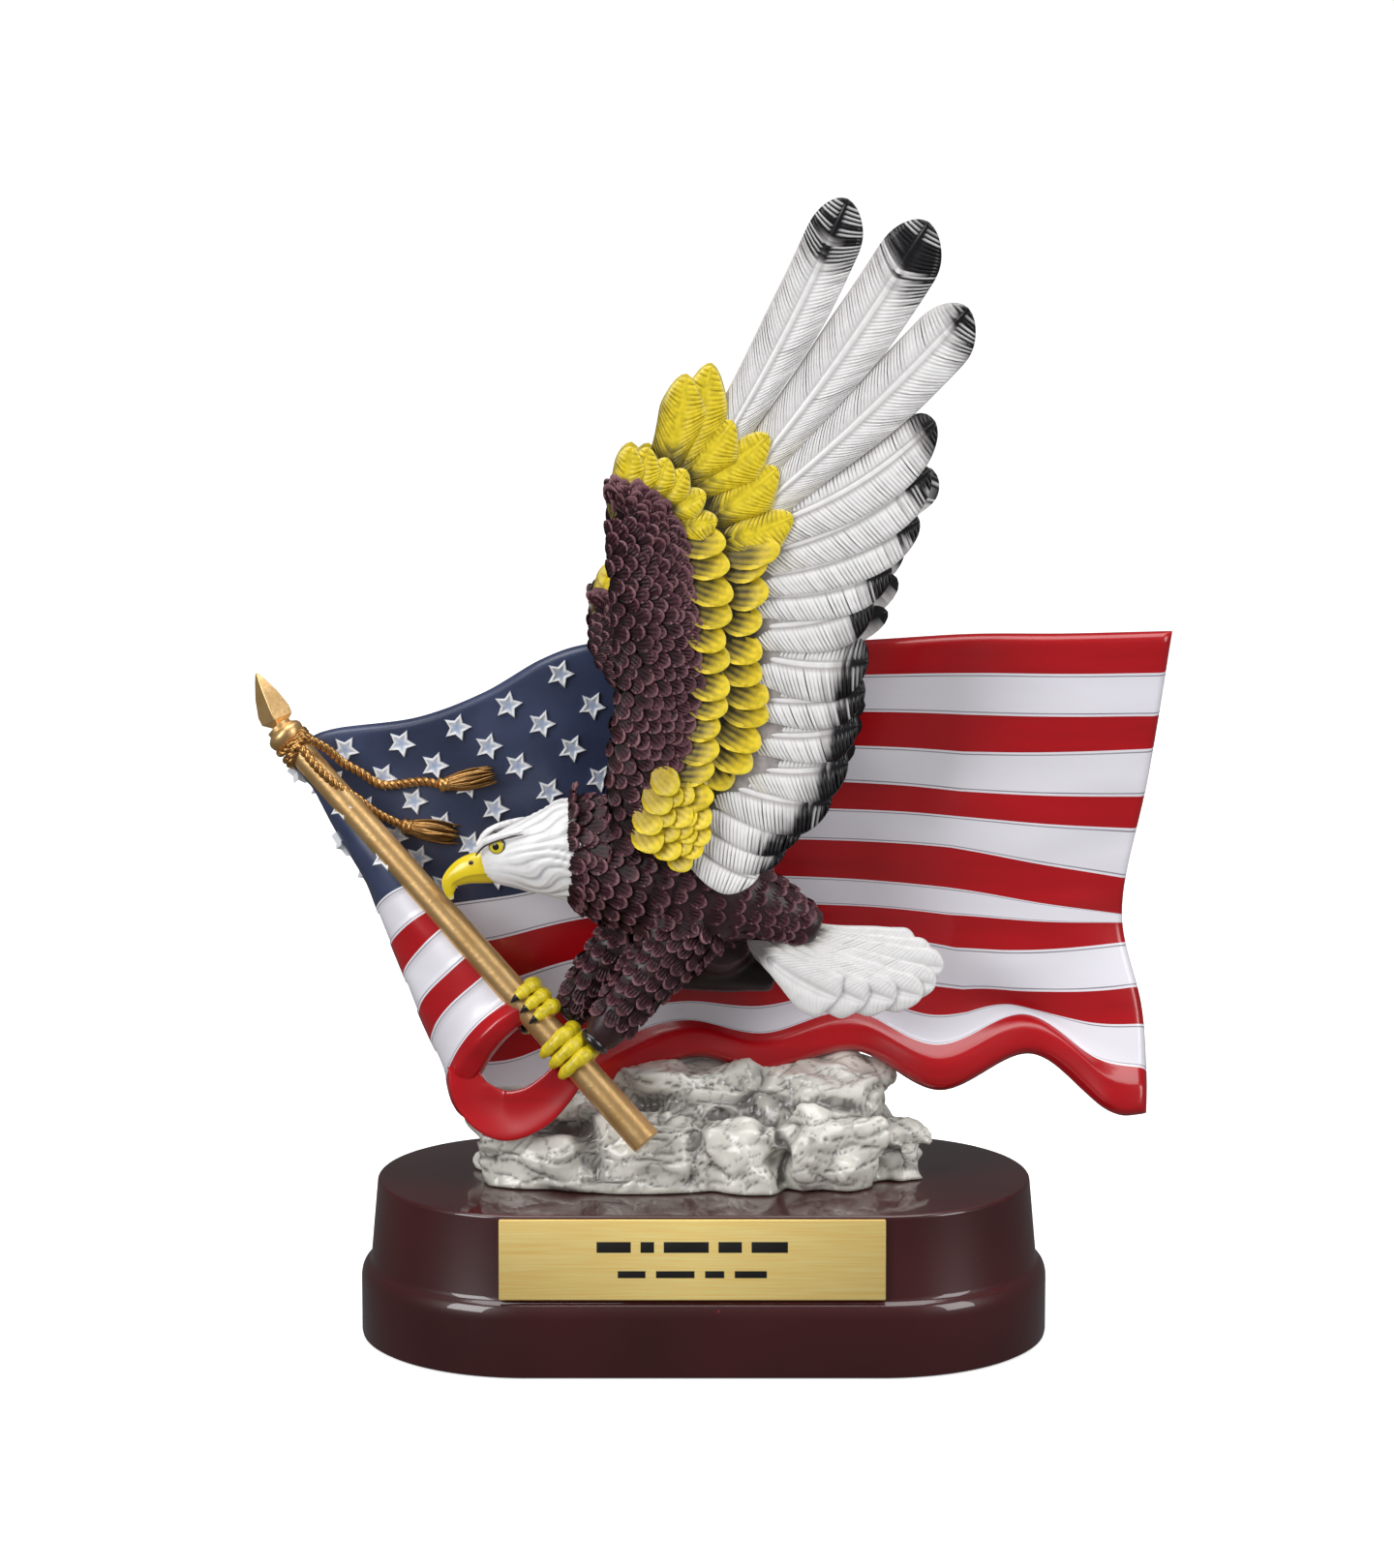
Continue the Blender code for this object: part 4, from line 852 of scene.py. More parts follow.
def make_plinth():
    """A profile turned by spin, whose halves are drawn apart to leave straight sides between round ends."""
    waist_z = PLINTH_BAND_HEIGHT + PLINTH_SHOULDER_HEIGHT
    profile = [(0.0, PLINTH_HEIGHT)]
    for step in range(7):
        angle = math.pi / 2 * step / 6
        profile.append((PLINTH_TOP_RADIUS - PLINTH_EDGE_ROUND * (1 - math.sin(angle)),
                        PLINTH_HEIGHT - PLINTH_EDGE_ROUND * (1 - math.cos(angle))))
    profile += [(PLINTH_WAIST_RADIUS - 0.35, waist_z + 1.1), (PLINTH_WAIST_RADIUS - 0.05, waist_z + 0.25)]
    for step in range(1, 11):
        angle = math.pi / 2 * step / 10
        radius = PLINTH_WAIST_RADIUS + (PLINTH_BAND_RADIUS - PLINTH_WAIST_RADIUS) * math.sin(angle)
        profile.append((radius, waist_z - PLINTH_SHOULDER_HEIGHT * (1 - math.cos(angle))))
    profile += [(PLINTH_BAND_RADIUS, 1.2), (PLINTH_BAND_RADIUS - 0.2, 0.4), (PLINTH_BAND_RADIUS - 0.9, 0.0),
                (0.0, 0.0)]
    bm = bmesh.new()
    half_step = Matrix.Rotation(math.pi / PLINTH_TURN_STEPS, 3, "Z")
    made = [bm.verts.new(half_step @ Vector((r, 0.0, z)) * MM) for r, z in profile]
    edges = [bm.edges.new((a, b)) for a, b in zip(made, made[1:])]
    bmesh.ops.spin(bm, geom=made + edges, cent=(0, 0, 0), axis=(0, 0, 1), angle=2 * math.pi,
                   steps=PLINTH_TURN_STEPS, use_merge=True)
    bmesh.ops.remove_doubles(bm, verts=bm.verts, dist=0.001 * MM)
    ends = [v for v in bm.verts if v.co.xy.length < 0.001 * MM]
    bmesh.ops.delete(bm, geom=ends, context="VERTS")
    for v in bm.verts:
        v.co.x += math.copysign(PLINTH_HALF_STRAIGHT * MM, v.co.x)
    bmesh.ops.holes_fill(bm, edges=bm.edges, sides=0)
    bmesh.ops.recalc_face_normals(bm, faces=bm.faces)
    mesh = bpy.data.meshes.new("lacquered_plinth")
    bm.to_mesh(mesh)
    bm.free()
    mesh.materials.append(LACQUER)
    mesh.shade_smooth()
    mesh.set_sharp_from_angle(angle=math.radians(32))
    plinth = link_object("lacquered_plinth", mesh)
    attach(plinth, "root")
    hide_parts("plinth")


def plate_place():
    """The middle of the plate's seat on the plinth's front, and the turn that lays the plate on its slope."""
    waist_z = PLINTH_BAND_HEIGHT + PLINTH_SHOULDER_HEIGHT
    edge_z = PLINTH_HEIGHT - PLINTH_EDGE_ROUND
    slope = math.atan2(PLINTH_WAIST_RADIUS - PLINTH_TOP_RADIUS, edge_z - waist_z)
    middle_z = PLINTH_HEIGHT - PLATE_TOP_GAP - PLATE_HEIGHT / 2 * math.cos(slope)
    wall_y = -(PLINTH_TOP_RADIUS + (edge_z - middle_z) * math.tan(slope))
    seat = Vector((PLATE_OFFSET_X * MM, wall_y * MM, middle_z * MM))
    return Matrix.Translation(seat) @ Matrix.Rotation(-slope, 4, "X")


def bevelled_box(name, middle, size, bevel, material):
    """A box on the plate's seat, with its edges bevelled."""
    bpy.ops.object.select_all(action="DESELECT")
    bpy.ops.mesh.primitive_cube_add(size=1.0)
    box = bpy.context.object
    box.name = box.data.name = name
    box.data.transform(plate_place() @ Matrix.Translation(Vector(middle) * MM)
                       @ Matrix.Diagonal((*(Vector(size) * MM), 1)))
    edge = box.modifiers.new("bevel", "BEVEL")
    edge.width = bevel * MM
    edge.segments = 3
    bpy.ops.object.modifier_apply(modifier="bevel")
    box.data.materials.append(material)
    bpy.ops.object.shade_smooth_by_angle(angle=math.radians(40))
    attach(box, "root")
    return box


def make_plate():
    face_y = -PLATE_SEAT_GAP - PLATE_THICKNESS
    plate = bevelled_box("brass_plate", (0, -PLATE_SEAT_GAP - PLATE_THICKNESS / 2, 0),
                         (PLATE_WIDTH, PLATE_THICKNESS, PLATE_HEIGHT), PLATE_BEVEL, PLATE_BRASS)
    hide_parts("name_plate")
    for row, (height, tall, widths, gap) in enumerate(STROKE_ROWS):
        x = -(sum(widths) + gap * (len(widths) - 1)) / 2
        for number, wide in enumerate(widths):
            bevelled_box(f"stroke_{row}_{number}", (x + wide / 2, face_y + STROKE_SINK, height),
                         (wide, STROKE_THICKNESS, tall), STROKE_BEVEL, DARK_ENAMEL)
            x += wide + gap


# Flag

def flag_sheet(columns):
    """Points of the cloth's middle surface, at fine levels from its top edge to its bottom edge."""
    known = sorted(FLAG_LINES)
    lines = []
    for k in known:
        share = HOIST_START + (HOIST_END - HOIST_START) * k / STRIPES
        start = POLE_TOP + (POLE_FOOT - POLE_TOP) * share + np.array((0.0, HOIST_BACK, 0.0))
        lines.append(even_points([start, *FLAG_LINES[k]], columns))
    lines = np.array(lines)
    slopes = []
    for n in range(len(known)):
        lo, hi = max(n - 1, 0), min(n + 1, len(known) - 1)
        slopes.append((lines[hi] - lines[lo]) / (known[hi] - known[lo]))
    rows = []
    for level in np.linspace(0, STRIPES, FINE_LEVELS):
        n = max(i for i, k in enumerate(known[:-1]) if k <= level)
        gap = known[n + 1] - known[n]
        f = (level - known[n]) / gap
        rows.append((2 * f**3 - 3 * f**2 + 1) * lines[n] + (f**3 - 2 * f**2 + f) * gap * slopes[n]
                    + (-2 * f**3 + 3 * f**2) * lines[n + 1] + (f**3 - f**2) * gap * slopes[n + 1])
    return np.array(rows)


def stripe_levels(stripe, along):
    """Level of a place counted in stripes, at each place along the cloth."""
    places = sorted(STRIPE_EDGES)
    edges = np.array([STRIPE_EDGES[p] for p in places], float)
    lower = int(min(stripe, STRIPES - 1))
    top, foot = (np.interp(along, places, edges[:, k]) for k in (lower, lower + 1))
    return top + (foot - top) * (stripe - lower)


def sheet_at(sheet, levels):
    """Points of the sheet at one level for each column."""
    place = np.clip(levels / STRIPES, 0, 1) * (FINE_LEVELS - 1)
    i = np.minimum(place.astype(int), FINE_LEVELS - 2)
    f = (place - i)[:, None]
    column = np.arange(sheet.shape[1])
    return sheet[i, column] * (1 - f) + sheet[i + 1, column] * f


def flag_rows():
    """Places of the cloth's rows, counted in stripes: close together at each edge and over the hem."""
    rows = list(TOP_ROWS)
    for k in range(1, STRIPES - 1):
        edge = WHITE_EDGE_ROWS if k % 2 else RED_EDGE_ROWS
        rows += [k + f for f in (*edge, *STRIPE_ROWS, *(1 - f for f in reversed(edge[1:])))]
    return np.array(rows + [STRIPES - 1 + f for f in HEM_ROWS])


def make_flag(sheet):
    """The cloth as one thick sheet: white stripes sunk a little between red ones, and a rolled hem."""
    along = np.linspace(0, 1, CLOTH_COLUMNS)
    rows = flag_rows()
    levels = np.array([stripe_levels(row, along) for row in rows])
    middle = np.array([sheet_at(sheet, level) for level in levels])
    normal = grid_normals(middle)
    half = np.interp(levels, *zip(*CLOTH_HALF))
    reach = np.linalg.norm(middle - middle[:, -1:], axis=2)
    fly = 1 - np.clip(1 - reach / EDGE_ROUND, 0, 1) ** 2
    top = 1 - np.clip(1 - levels * 9.0 / EDGE_ROUND, 0, 1) ** 2
    half = half * np.sqrt(np.maximum(fly * top, 0.02))
    stripe = np.floor(rows).astype(int)
    place = rows - stripe
    in_canton = (rows[:, None] < CANTON_STRIPES) & (along[None, :] < CANTON_END)
    sunk = ((stripe % 2 == 1) & (place > 0.1) & (place < 0.9))[:, None] & ~in_canton & (reach > 1.6)
    wobble = soft_noise(middle, 14.0) * 0.16
    front = middle + normal * (half - STEP_DEPTH * sunk + wobble)[..., None]
    back = middle - normal * (half - wobble)[..., None]
    count = rows.size * CLOTH_COLUMNS
    verts = np.concatenate([front.reshape(-1, 3), back.reshape(-1, 3)])
    faces = grid_faces(len(rows), CLOTH_COLUMNS) + grid_faces(len(rows), CLOTH_COLUMNS, count, flip=True)
    colours = []
    for i in range(len(rows) - 1):
        # Painted shade: a thin grey line along each edge of the white stripes
        shade_line = stripe[i] % 2 and np.abs(np.subtract(SHADE_LINE_ROWS, place[i])).min() < ROW_TOLERANCE
        striped = SHADE_LINE_PLACE if shade_line else (RED_PLACE, WHITE_PLACE)[stripe[i] % 2]
        colours += [NAVY_PLACE if in_canton[i, j] and rows[i + 1] <= CANTON_STRIPES else striped
                    for j in range(CLOTH_COLUMNS - 1)]
    colours += colours
    last = len(rows) - 1
    for j in range(CLOTH_COLUMNS - 1):
        faces.append((j + 1, j, count + j, count + j + 1))
        colours.append(NAVY_PLACE if along[j] < CANTON_END else RED_PLACE)
        foot = last * CLOTH_COLUMNS + j
        faces.append((foot, foot + 1, count + foot + 1, count + foot))
        colours.append(RED_PLACE)
    for i in range(last):
        a, b = i * CLOTH_COLUMNS, (i + 1) * CLOTH_COLUMNS
        faces.append((a, b, count + b, count + a))
        colours.append(colours[i * (CLOTH_COLUMNS - 1)])
        a, b = a + CLOTH_COLUMNS - 1, b + CLOTH_COLUMNS - 1
        faces.append((b, a, count + a, count + b))
        colours.append((RED_PLACE, WHITE_PLACE)[stripe[i] % 2])
    paints = [FLAG_RED, FLAG_WHITE, FLAG_NAVY, STRIPE_EDGE_SHADE]
    flag = add_piece("flag_cloth", verts, faces, paints, colours, crease=50)
    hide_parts("flag_and_rock")
    return front, back, levels, along


def make_hem_curl():
    """The red hem rolled forward: a bowed band that closes the loop of the cloth in front of the rocks."""
    pile = Pile()
    packed = np.array([(*centre, width) for centre, width in HEM_CURL])
    t = np.linspace(0, 1, HEM_CURL_STEPS)
    line = spline(packed, t)
    ahead = unit(np.gradient(line[:, :3], axis=0))
    across = unit(np.cross(ahead, (0.0, -1.0, 0.12)))
    out = np.cross(across, ahead)
    angle = turns(40)
    round_end = np.sqrt(np.clip(1 - np.clip((t - 0.94) / 0.062, 0, 1) ** 2, 0.05, 1))
    wide = line[:, 3, None, None] * np.cos(angle)[None, :, None] * across[:, None]
    deep = HEM_CURL_THICKNESS * np.sin(angle)[None, :, None] * out[:, None] * round_end[:, None, None]
    rings = line[:, None, :3] + wide + deep + out[:, None] * (HEM_CURL_CUP * np.cos(2 * angle))[None, :, None]
    pile.add_tube(rings, (1.0, 1.0, 1.0))
    curl = pile.finish("flag_hem_curl", [FLAG_RED], 50)


def star_shape(centre, right, up, out):
    """A raised five-pointed star with a rounded rim and a shallow dimple."""
    rings = []
    for size, height in STAR_RINGS:
        ring = []
        for k in range(10):
            angle = math.pi / 2 + k * math.pi / 5
            radius = STAR_RADIUS * size * (1.0 if k % 2 == 0 else STAR_WAIST)
            ring.append(centre + right * math.cos(angle) * radius + up * math.sin(angle) * radius
                        + out * height)
        rings.append(ring)
    verts, faces = closed_tube(np.array(rings))
    paint = np.concatenate([np.repeat(STAR_SHADES, 10, axis=0), STAR_SHADES[:1], STAR_SHADES[-1:]])
    return verts, faces, paint


def make_stars(front, back, levels, along):
    """Staggered rows of stars over the canton, on both faces of the cloth."""
    stars = Pile()
    for face, sign in ((front, 1), (back, -1)):
        normal = grid_normals(face) * sign
        row = 0
        while STAR_FIRST[1] + STAR_ROW_STEP * row < CANTON_STRIPES + 1.2:
            place = STAR_FIRST[0] + (STAR_ROW_SHIFT if row % 2 else 0.0) - STAR_STEP
            while place < CANTON_END - 0.02:
                level = STAR_FIRST[1] + STAR_ROW_STEP * row + STAR_ROW_RISE * max(place - 0.22, 0.0)
                j = int(round(place * (CLOTH_COLUMNS - 1)))
                i = int(np.abs(levels[:, j] - level).argmin())
                edge = levels[np.searchsorted(flag_rows(), CANTON_STRIPES), j]
                if place > 0.004 and 0.4 < level < edge - 0.3:
                    right = unit(face[i, min(j + 3, CLOTH_COLUMNS - 1)] - face[i, j]) * sign
                    out = normal[i, j]
                    up = np.cross(out, right)
                    centre = face[i, j] + out * 0.02
                    stars.add(*star_shape(centre, right, up, out))
                place += STAR_STEP
            row += 1
    piece = stars.finish("raised_stars", [STAR_PAINT], 30)


# Pole, spear head, cords and tassels

def pole_axes():
    """The pole's direction, and two directions across it: towards the viewer, and up to the right."""
    along = unit(POLE_FOOT - POLE_TOP)
    front = across_line(along)
    side = unit(np.cross(front, along))
    return along, front, side if side[2] > 0 else -side


def make_pole():
    """The pole, a little uneven and rounded at its foot, its collar and the diamond of the spear head."""
    along, front, _ = pole_axes()
    pole = Pile()
    length = np.linalg.norm(POLE_FOOT - POLE_TOP)
    places = np.concatenate([np.linspace(-POLE_BEHIND_COLLAR, length - 0.5, 90), [length - 0.15, length]])
    radii = POLE_TOP_RADIUS + (POLE_FOOT_RADIUS - POLE_TOP_RADIUS) * np.clip(places / length, 0, 1)
    radii[-3:] *= 0.985
    radii[-1] *= 0.93
    line = POLE_TOP + along * places[:, None]
    rings = tube_points(line, radii, 40)
    middle = line[:, None]
    uneven = 1 + 0.02 * soft_noise(rings, 9.0)
    pole.add_tube(middle + (rings - middle) * uneven[..., None])
    line = [POLE_TOP + along * place for place, _ in COLLAR]
    pole.add_tube(tube_points(line, [radius for _, radius in COLLAR], 40))
    base = POLE_TOP - along * (COLLAR_LENGTH + 0.4)
    reach = SPEAR_TIP - base
    across = unit(np.cross(front, reach))
    rings = []
    for share, wide, deep in SPEAR:
        centre = base + reach * share
        out = across * SPEAR_HALF_WIDTH * wide
        through = front * SPEAR_HALF_THICKNESS * deep
        rings.append([centre + out, centre + through, centre - out, centre - through][::-1])
    spear = Pile()
    spear.add_tube(np.array(rings))
    pole_piece = pole.finish("flag_pole", [GOLD_PAINT], 40)
    spear_piece = spear.finish("spear_head", [GOLD_PAINT], 15)
    edge = spear_piece.modifiers.new("edge", "BEVEL")
    edge.width = SPEAR_BEVEL * MM
    edge.segments = 2


def add_rope(pile, points, radius, turn=3.2, step=0.35):
    """Two strands twisted round each other along a line."""
    length = np.linalg.norm(np.diff(even_points(points, 60), axis=0), axis=1).sum()
    line = even_points(points, max(int(length / step), 12))
    along = unit(np.gradient(line, axis=0))
    across = unit(np.cross(along, FRONT))
    third = np.cross(along, across)
    angle = np.linspace(0, 2 * np.pi * length / turn, len(line))
    for strand in range(2):
        a = (angle + strand * np.pi)[:, None]
        path = line + (across * np.cos(a) + third * np.sin(a)) * radius * 0.52
        rings = tube_points(path, [radius * 0.6] * len(path), 8)
        shade = 0.35 + 0.65 * smooth_step(0.2, 1.0, np.linalg.norm(rings - line[:, None], axis=2) / radius)
        paint = np.repeat(shade.reshape(-1, 1), 3, axis=1)
        pile.add_tube(rings, np.concatenate([paint, np.ones((2, 3)) * 0.6]))


def add_tassel(pile, start, end, size, seed):
    """A knotted head and a skirt of threads that spread and wave a little."""
    chooser = random.Random(seed)
    start, end = np.array(start), np.array(end)
    along = unit(end - start)
    front = across_line(along)
    side = np.cross(along, front)
    length = np.linalg.norm(end - start)
    knot = [start + along * place for place, _ in TASSEL_KNOT]
    pile.add_tube(tube_points(knot, [size * share for _, share in TASSEL_KNOT], 16))
    core = [start + along * (2 + (length - 3.2) * t) for t in np.linspace(0, 1, len(TASSEL_CORE))]
    pile.add_tube(tube_points(core, [size * share for share in TASSEL_CORE], 16), TASSEL_CORE_SHADE)
    for k in range(TASSEL_THREADS):
        angle = 2 * math.pi * k / TASSEL_THREADS + chooser.uniform(-0.1, 0.1)
        out = side * math.cos(angle) + front * math.sin(angle)
        reach = length * chooser.uniform(0.9, 1.0)
        wave = chooser.uniform(-0.5, 0.5)
        path = []
        for t in np.linspace(0, 1, len(THREAD_WIDTHS)):
            spread = size * (0.42 + 0.5 * math.sin(math.pi * min(t * 0.75, 0.7)) - 0.12 * t)
            turn = side * math.cos(angle + wave * t) + front * math.sin(angle + wave * t)
            path.append(start + along * (1.2 + (reach - 1.2) * t) + turn * spread
                        + out * 0.1 * math.sin(6 * t + k))
        shade = 0.55 + 0.45 * (k % 2)
        pile.add_tube(tube_points(path, THREAD_WIDTHS * size / 6, 6), (shade, shade, shade))


def make_cords():
    """Two twisted cords, the lashing round the top of the pole and two tassels."""
    cords = Pile()
    along, front, side = pole_axes()
    for points in CORDS:
        add_rope(cords, points, CORD_RADIUS)
    for turn in range(LASHING_TURNS):
        centre = POLE_TOP + along * (0.4 + turn * 1.5)
        loop = []
        for k in range(25):
            angle = 2 * math.pi * k / 24
            slant = along * 1.1 * math.cos(angle + turn)
            out = front * math.cos(angle) + side * math.sin(angle)
            loop.append(centre + slant + out * (POLE_TOP_RADIUS + 0.75))
        add_rope(cords, loop, CORD_RADIUS * 0.85)
    for seed, (start, end, size) in enumerate(TASSELS):
        add_tassel(cords, start, end, size, seed)
    piece = cords.finish("gilt_cords", [ANTIQUE_GOLD])


# Rocks

def boulder(index, centre, half, turn):
    """One boulder: a ball pulled towards a box and roughened, as in the frame."""
    bm = bmesh.new()
    bmesh.ops.create_icosphere(bm, subdivisions=5, radius=1.0)
    for v in bm.verts:
        p = v.co.normalized()
        rough = noise.noise(p * ROCK_GRAIN + Vector((index * 5.3, 1.7, 0.4)))
        v.co = p / max(abs(p.x), abs(p.y), abs(p.z))**ROCK_SQUARENESS * (1.0 + ROCK_ROUGHNESS * rough)
    turned = Matrix.Translation(centre) @ Matrix.Rotation(math.radians(turn), 4, "Z")
    bm.transform(Matrix.Scale(MM, 4) @ (turned @ Matrix.Diagonal((*half, 1))))
    return bm


def shrunk(p, size):
    """A point in units of a pattern's size along X, Y and Z."""
    return Vector([part / whole for part, whole in zip(p, size)])


def chisel(p):
    """Depth of the carving at a point in millimetres: broken planes, level cracks, gashes and lumps."""
    warp = Vector([noise.noise(p / WARP_SIZE + Vector(shift)) for shift in ((0, 0, 0), (7, 3, 1), (2, 8, 5))])
    q = p + warp * WARP_REACH
    near = noise.voronoi(shrunk(q, PLANE_SIZE))[0]
    ridge = min((near[1] - near[0]) * 1.5, 1.0)
    planes = (ridge**0.6 - 0.8) * PLANE_DEPTH
    crack = abs(noise.noise(shrunk(q, CRACK_SIZE)))
    cracks = -CRACK_DEPTH * max(0.0, 1 - crack / CRACK_WIDTH)
    gash = abs(noise.noise(shrunk(q, GASH_SIZE) + Vector((3, 1, 9))))
    gashes = -GASH_DEPTH * max(0.0, 1 - gash / GASH_WIDTH)
    lumps = LUMP_DEPTH * noise.noise(p / LUMP_SIZE)
    return planes + cracks + gashes + lumps


def make_rocks():
    """The boulders fused into one mass, carved, and given painted shade by how deep each hollow is and near their
    seat.
    """
    bm = bmesh.new()
    for index, (centre, half, turn) in enumerate(ROCKS):
        one = boulder(index, centre, half, turn)
        part = bpy.data.meshes.new("boulder")
        one.to_mesh(part)
        one.free()
        bm.from_mesh(part)
        bpy.data.meshes.remove(part)
    mesh = bpy.data.meshes.new("rocks")
    bm.to_mesh(mesh)
    bm.free()
    rocks = link_object("rocks", mesh)
    fuse = rocks.modifiers.new("fuse", "REMESH")
    fuse.mode = "VOXEL"
    fuse.voxel_size = ROCK_VOXEL * MM
    apply_modifiers(rocks, "fuse")
    bm = bmesh.new()
    bm.from_mesh(rocks.data)
    bmesh.ops.smooth_vert(bm, verts=bm.verts, factor=0.5, use_axis_x=True, use_axis_y=True, use_axis_z=True)
    bmesh.ops.bisect_plane(bm, geom=bm.verts[:] + bm.edges[:] + bm.faces[:], plane_co=(0, 0, ROCK_SEAT * MM),
                           plane_no=(0, 0, 1), clear_inner=True)
    bmesh.ops.holes_fill(bm, edges=[e for e in bm.edges if e.is_boundary], sides=0)
    bmesh.ops.triangulate(bm, faces=[f for f in bm.faces if len(f.verts) > 4])
    bm.normal_update()
    spots = np.array([v.co for v in bm.verts]) / MM
    inside = []
    for centre, half, turn in ROCKS:
        angle = math.radians(turn)
        d = spots - centre
        d = np.stack([d[:, 0] * math.cos(angle) + d[:, 1] * math.sin(angle),
                      d[:, 1] * math.cos(angle) - d[:, 0] * math.sin(angle), d[:, 2]], axis=1) / half
        inside.append((np.abs(d) ** ROCK_POWER).sum(axis=1) ** (1 / ROCK_POWER))
    inside = np.sort(np.array(inside), axis=0)
    groove = ROCK_GROOVE * np.clip(1 - (inside[1] - inside[0]) / ROCK_GROOVE_WIDTH, 0, 1) ** 0.8
    depth = {}
    for v in bm.verts:
        if v.co.z > (ROCK_SEAT + 0.05) * MM:
            p = v.co / MM
            foot = min((p.z - ROCK_SEAT) / 2.0, 1.0)
            depth[v.index] = (chisel(p) - groove[v.index]) * foot - 0.2
    for v in bm.verts:
        if v.index in depth:
            v.co += v.normal * depth[v.index] * MM
            v.co.z = max(v.co.z, (ROCK_SEAT + 0.02) * MM)
    bm.normal_update()
    # Painted shade: grey where the surface is hollow or deeply cut, and darker just above the seat
    hollow = []
    for v in bm.verts:
        around = [e.other_vert(v).co for e in v.link_edges]
        hollow.append((sum(around, Vector()) / len(around) - v.co).dot(v.normal) / MM if around else 0.0)
    dark = smooth_step(0.03, 0.16, np.array(hollow))
    deep = smooth_step(-0.5, -1.9, np.array([depth.get(v.index, 0.0) for v in bm.verts]))
    darkening = np.clip(dark * 0.55 + deep * 0.5, 0, 1)[:, None]
    height = np.array([v.co.z / MM for v in bm.verts])
    seat = (1 - smooth_step(ROCK_SEAT, ROCK_SEAT + 1.6, height))[:, None]
    colour = 1.0 + (ROCK_HOLLOW_SHADE - 1.0) * darkening
    colour = colour + (ROCK_SEAT_SHADE - colour) * seat * 0.6
    bm.to_mesh(rocks.data)
    bm.free()
    store_paint(rocks.data, colour)
    rocks.data.materials.append(STONE)
    rocks.data.shade_smooth()
    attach(rocks, "root")


# Eagle: feathers

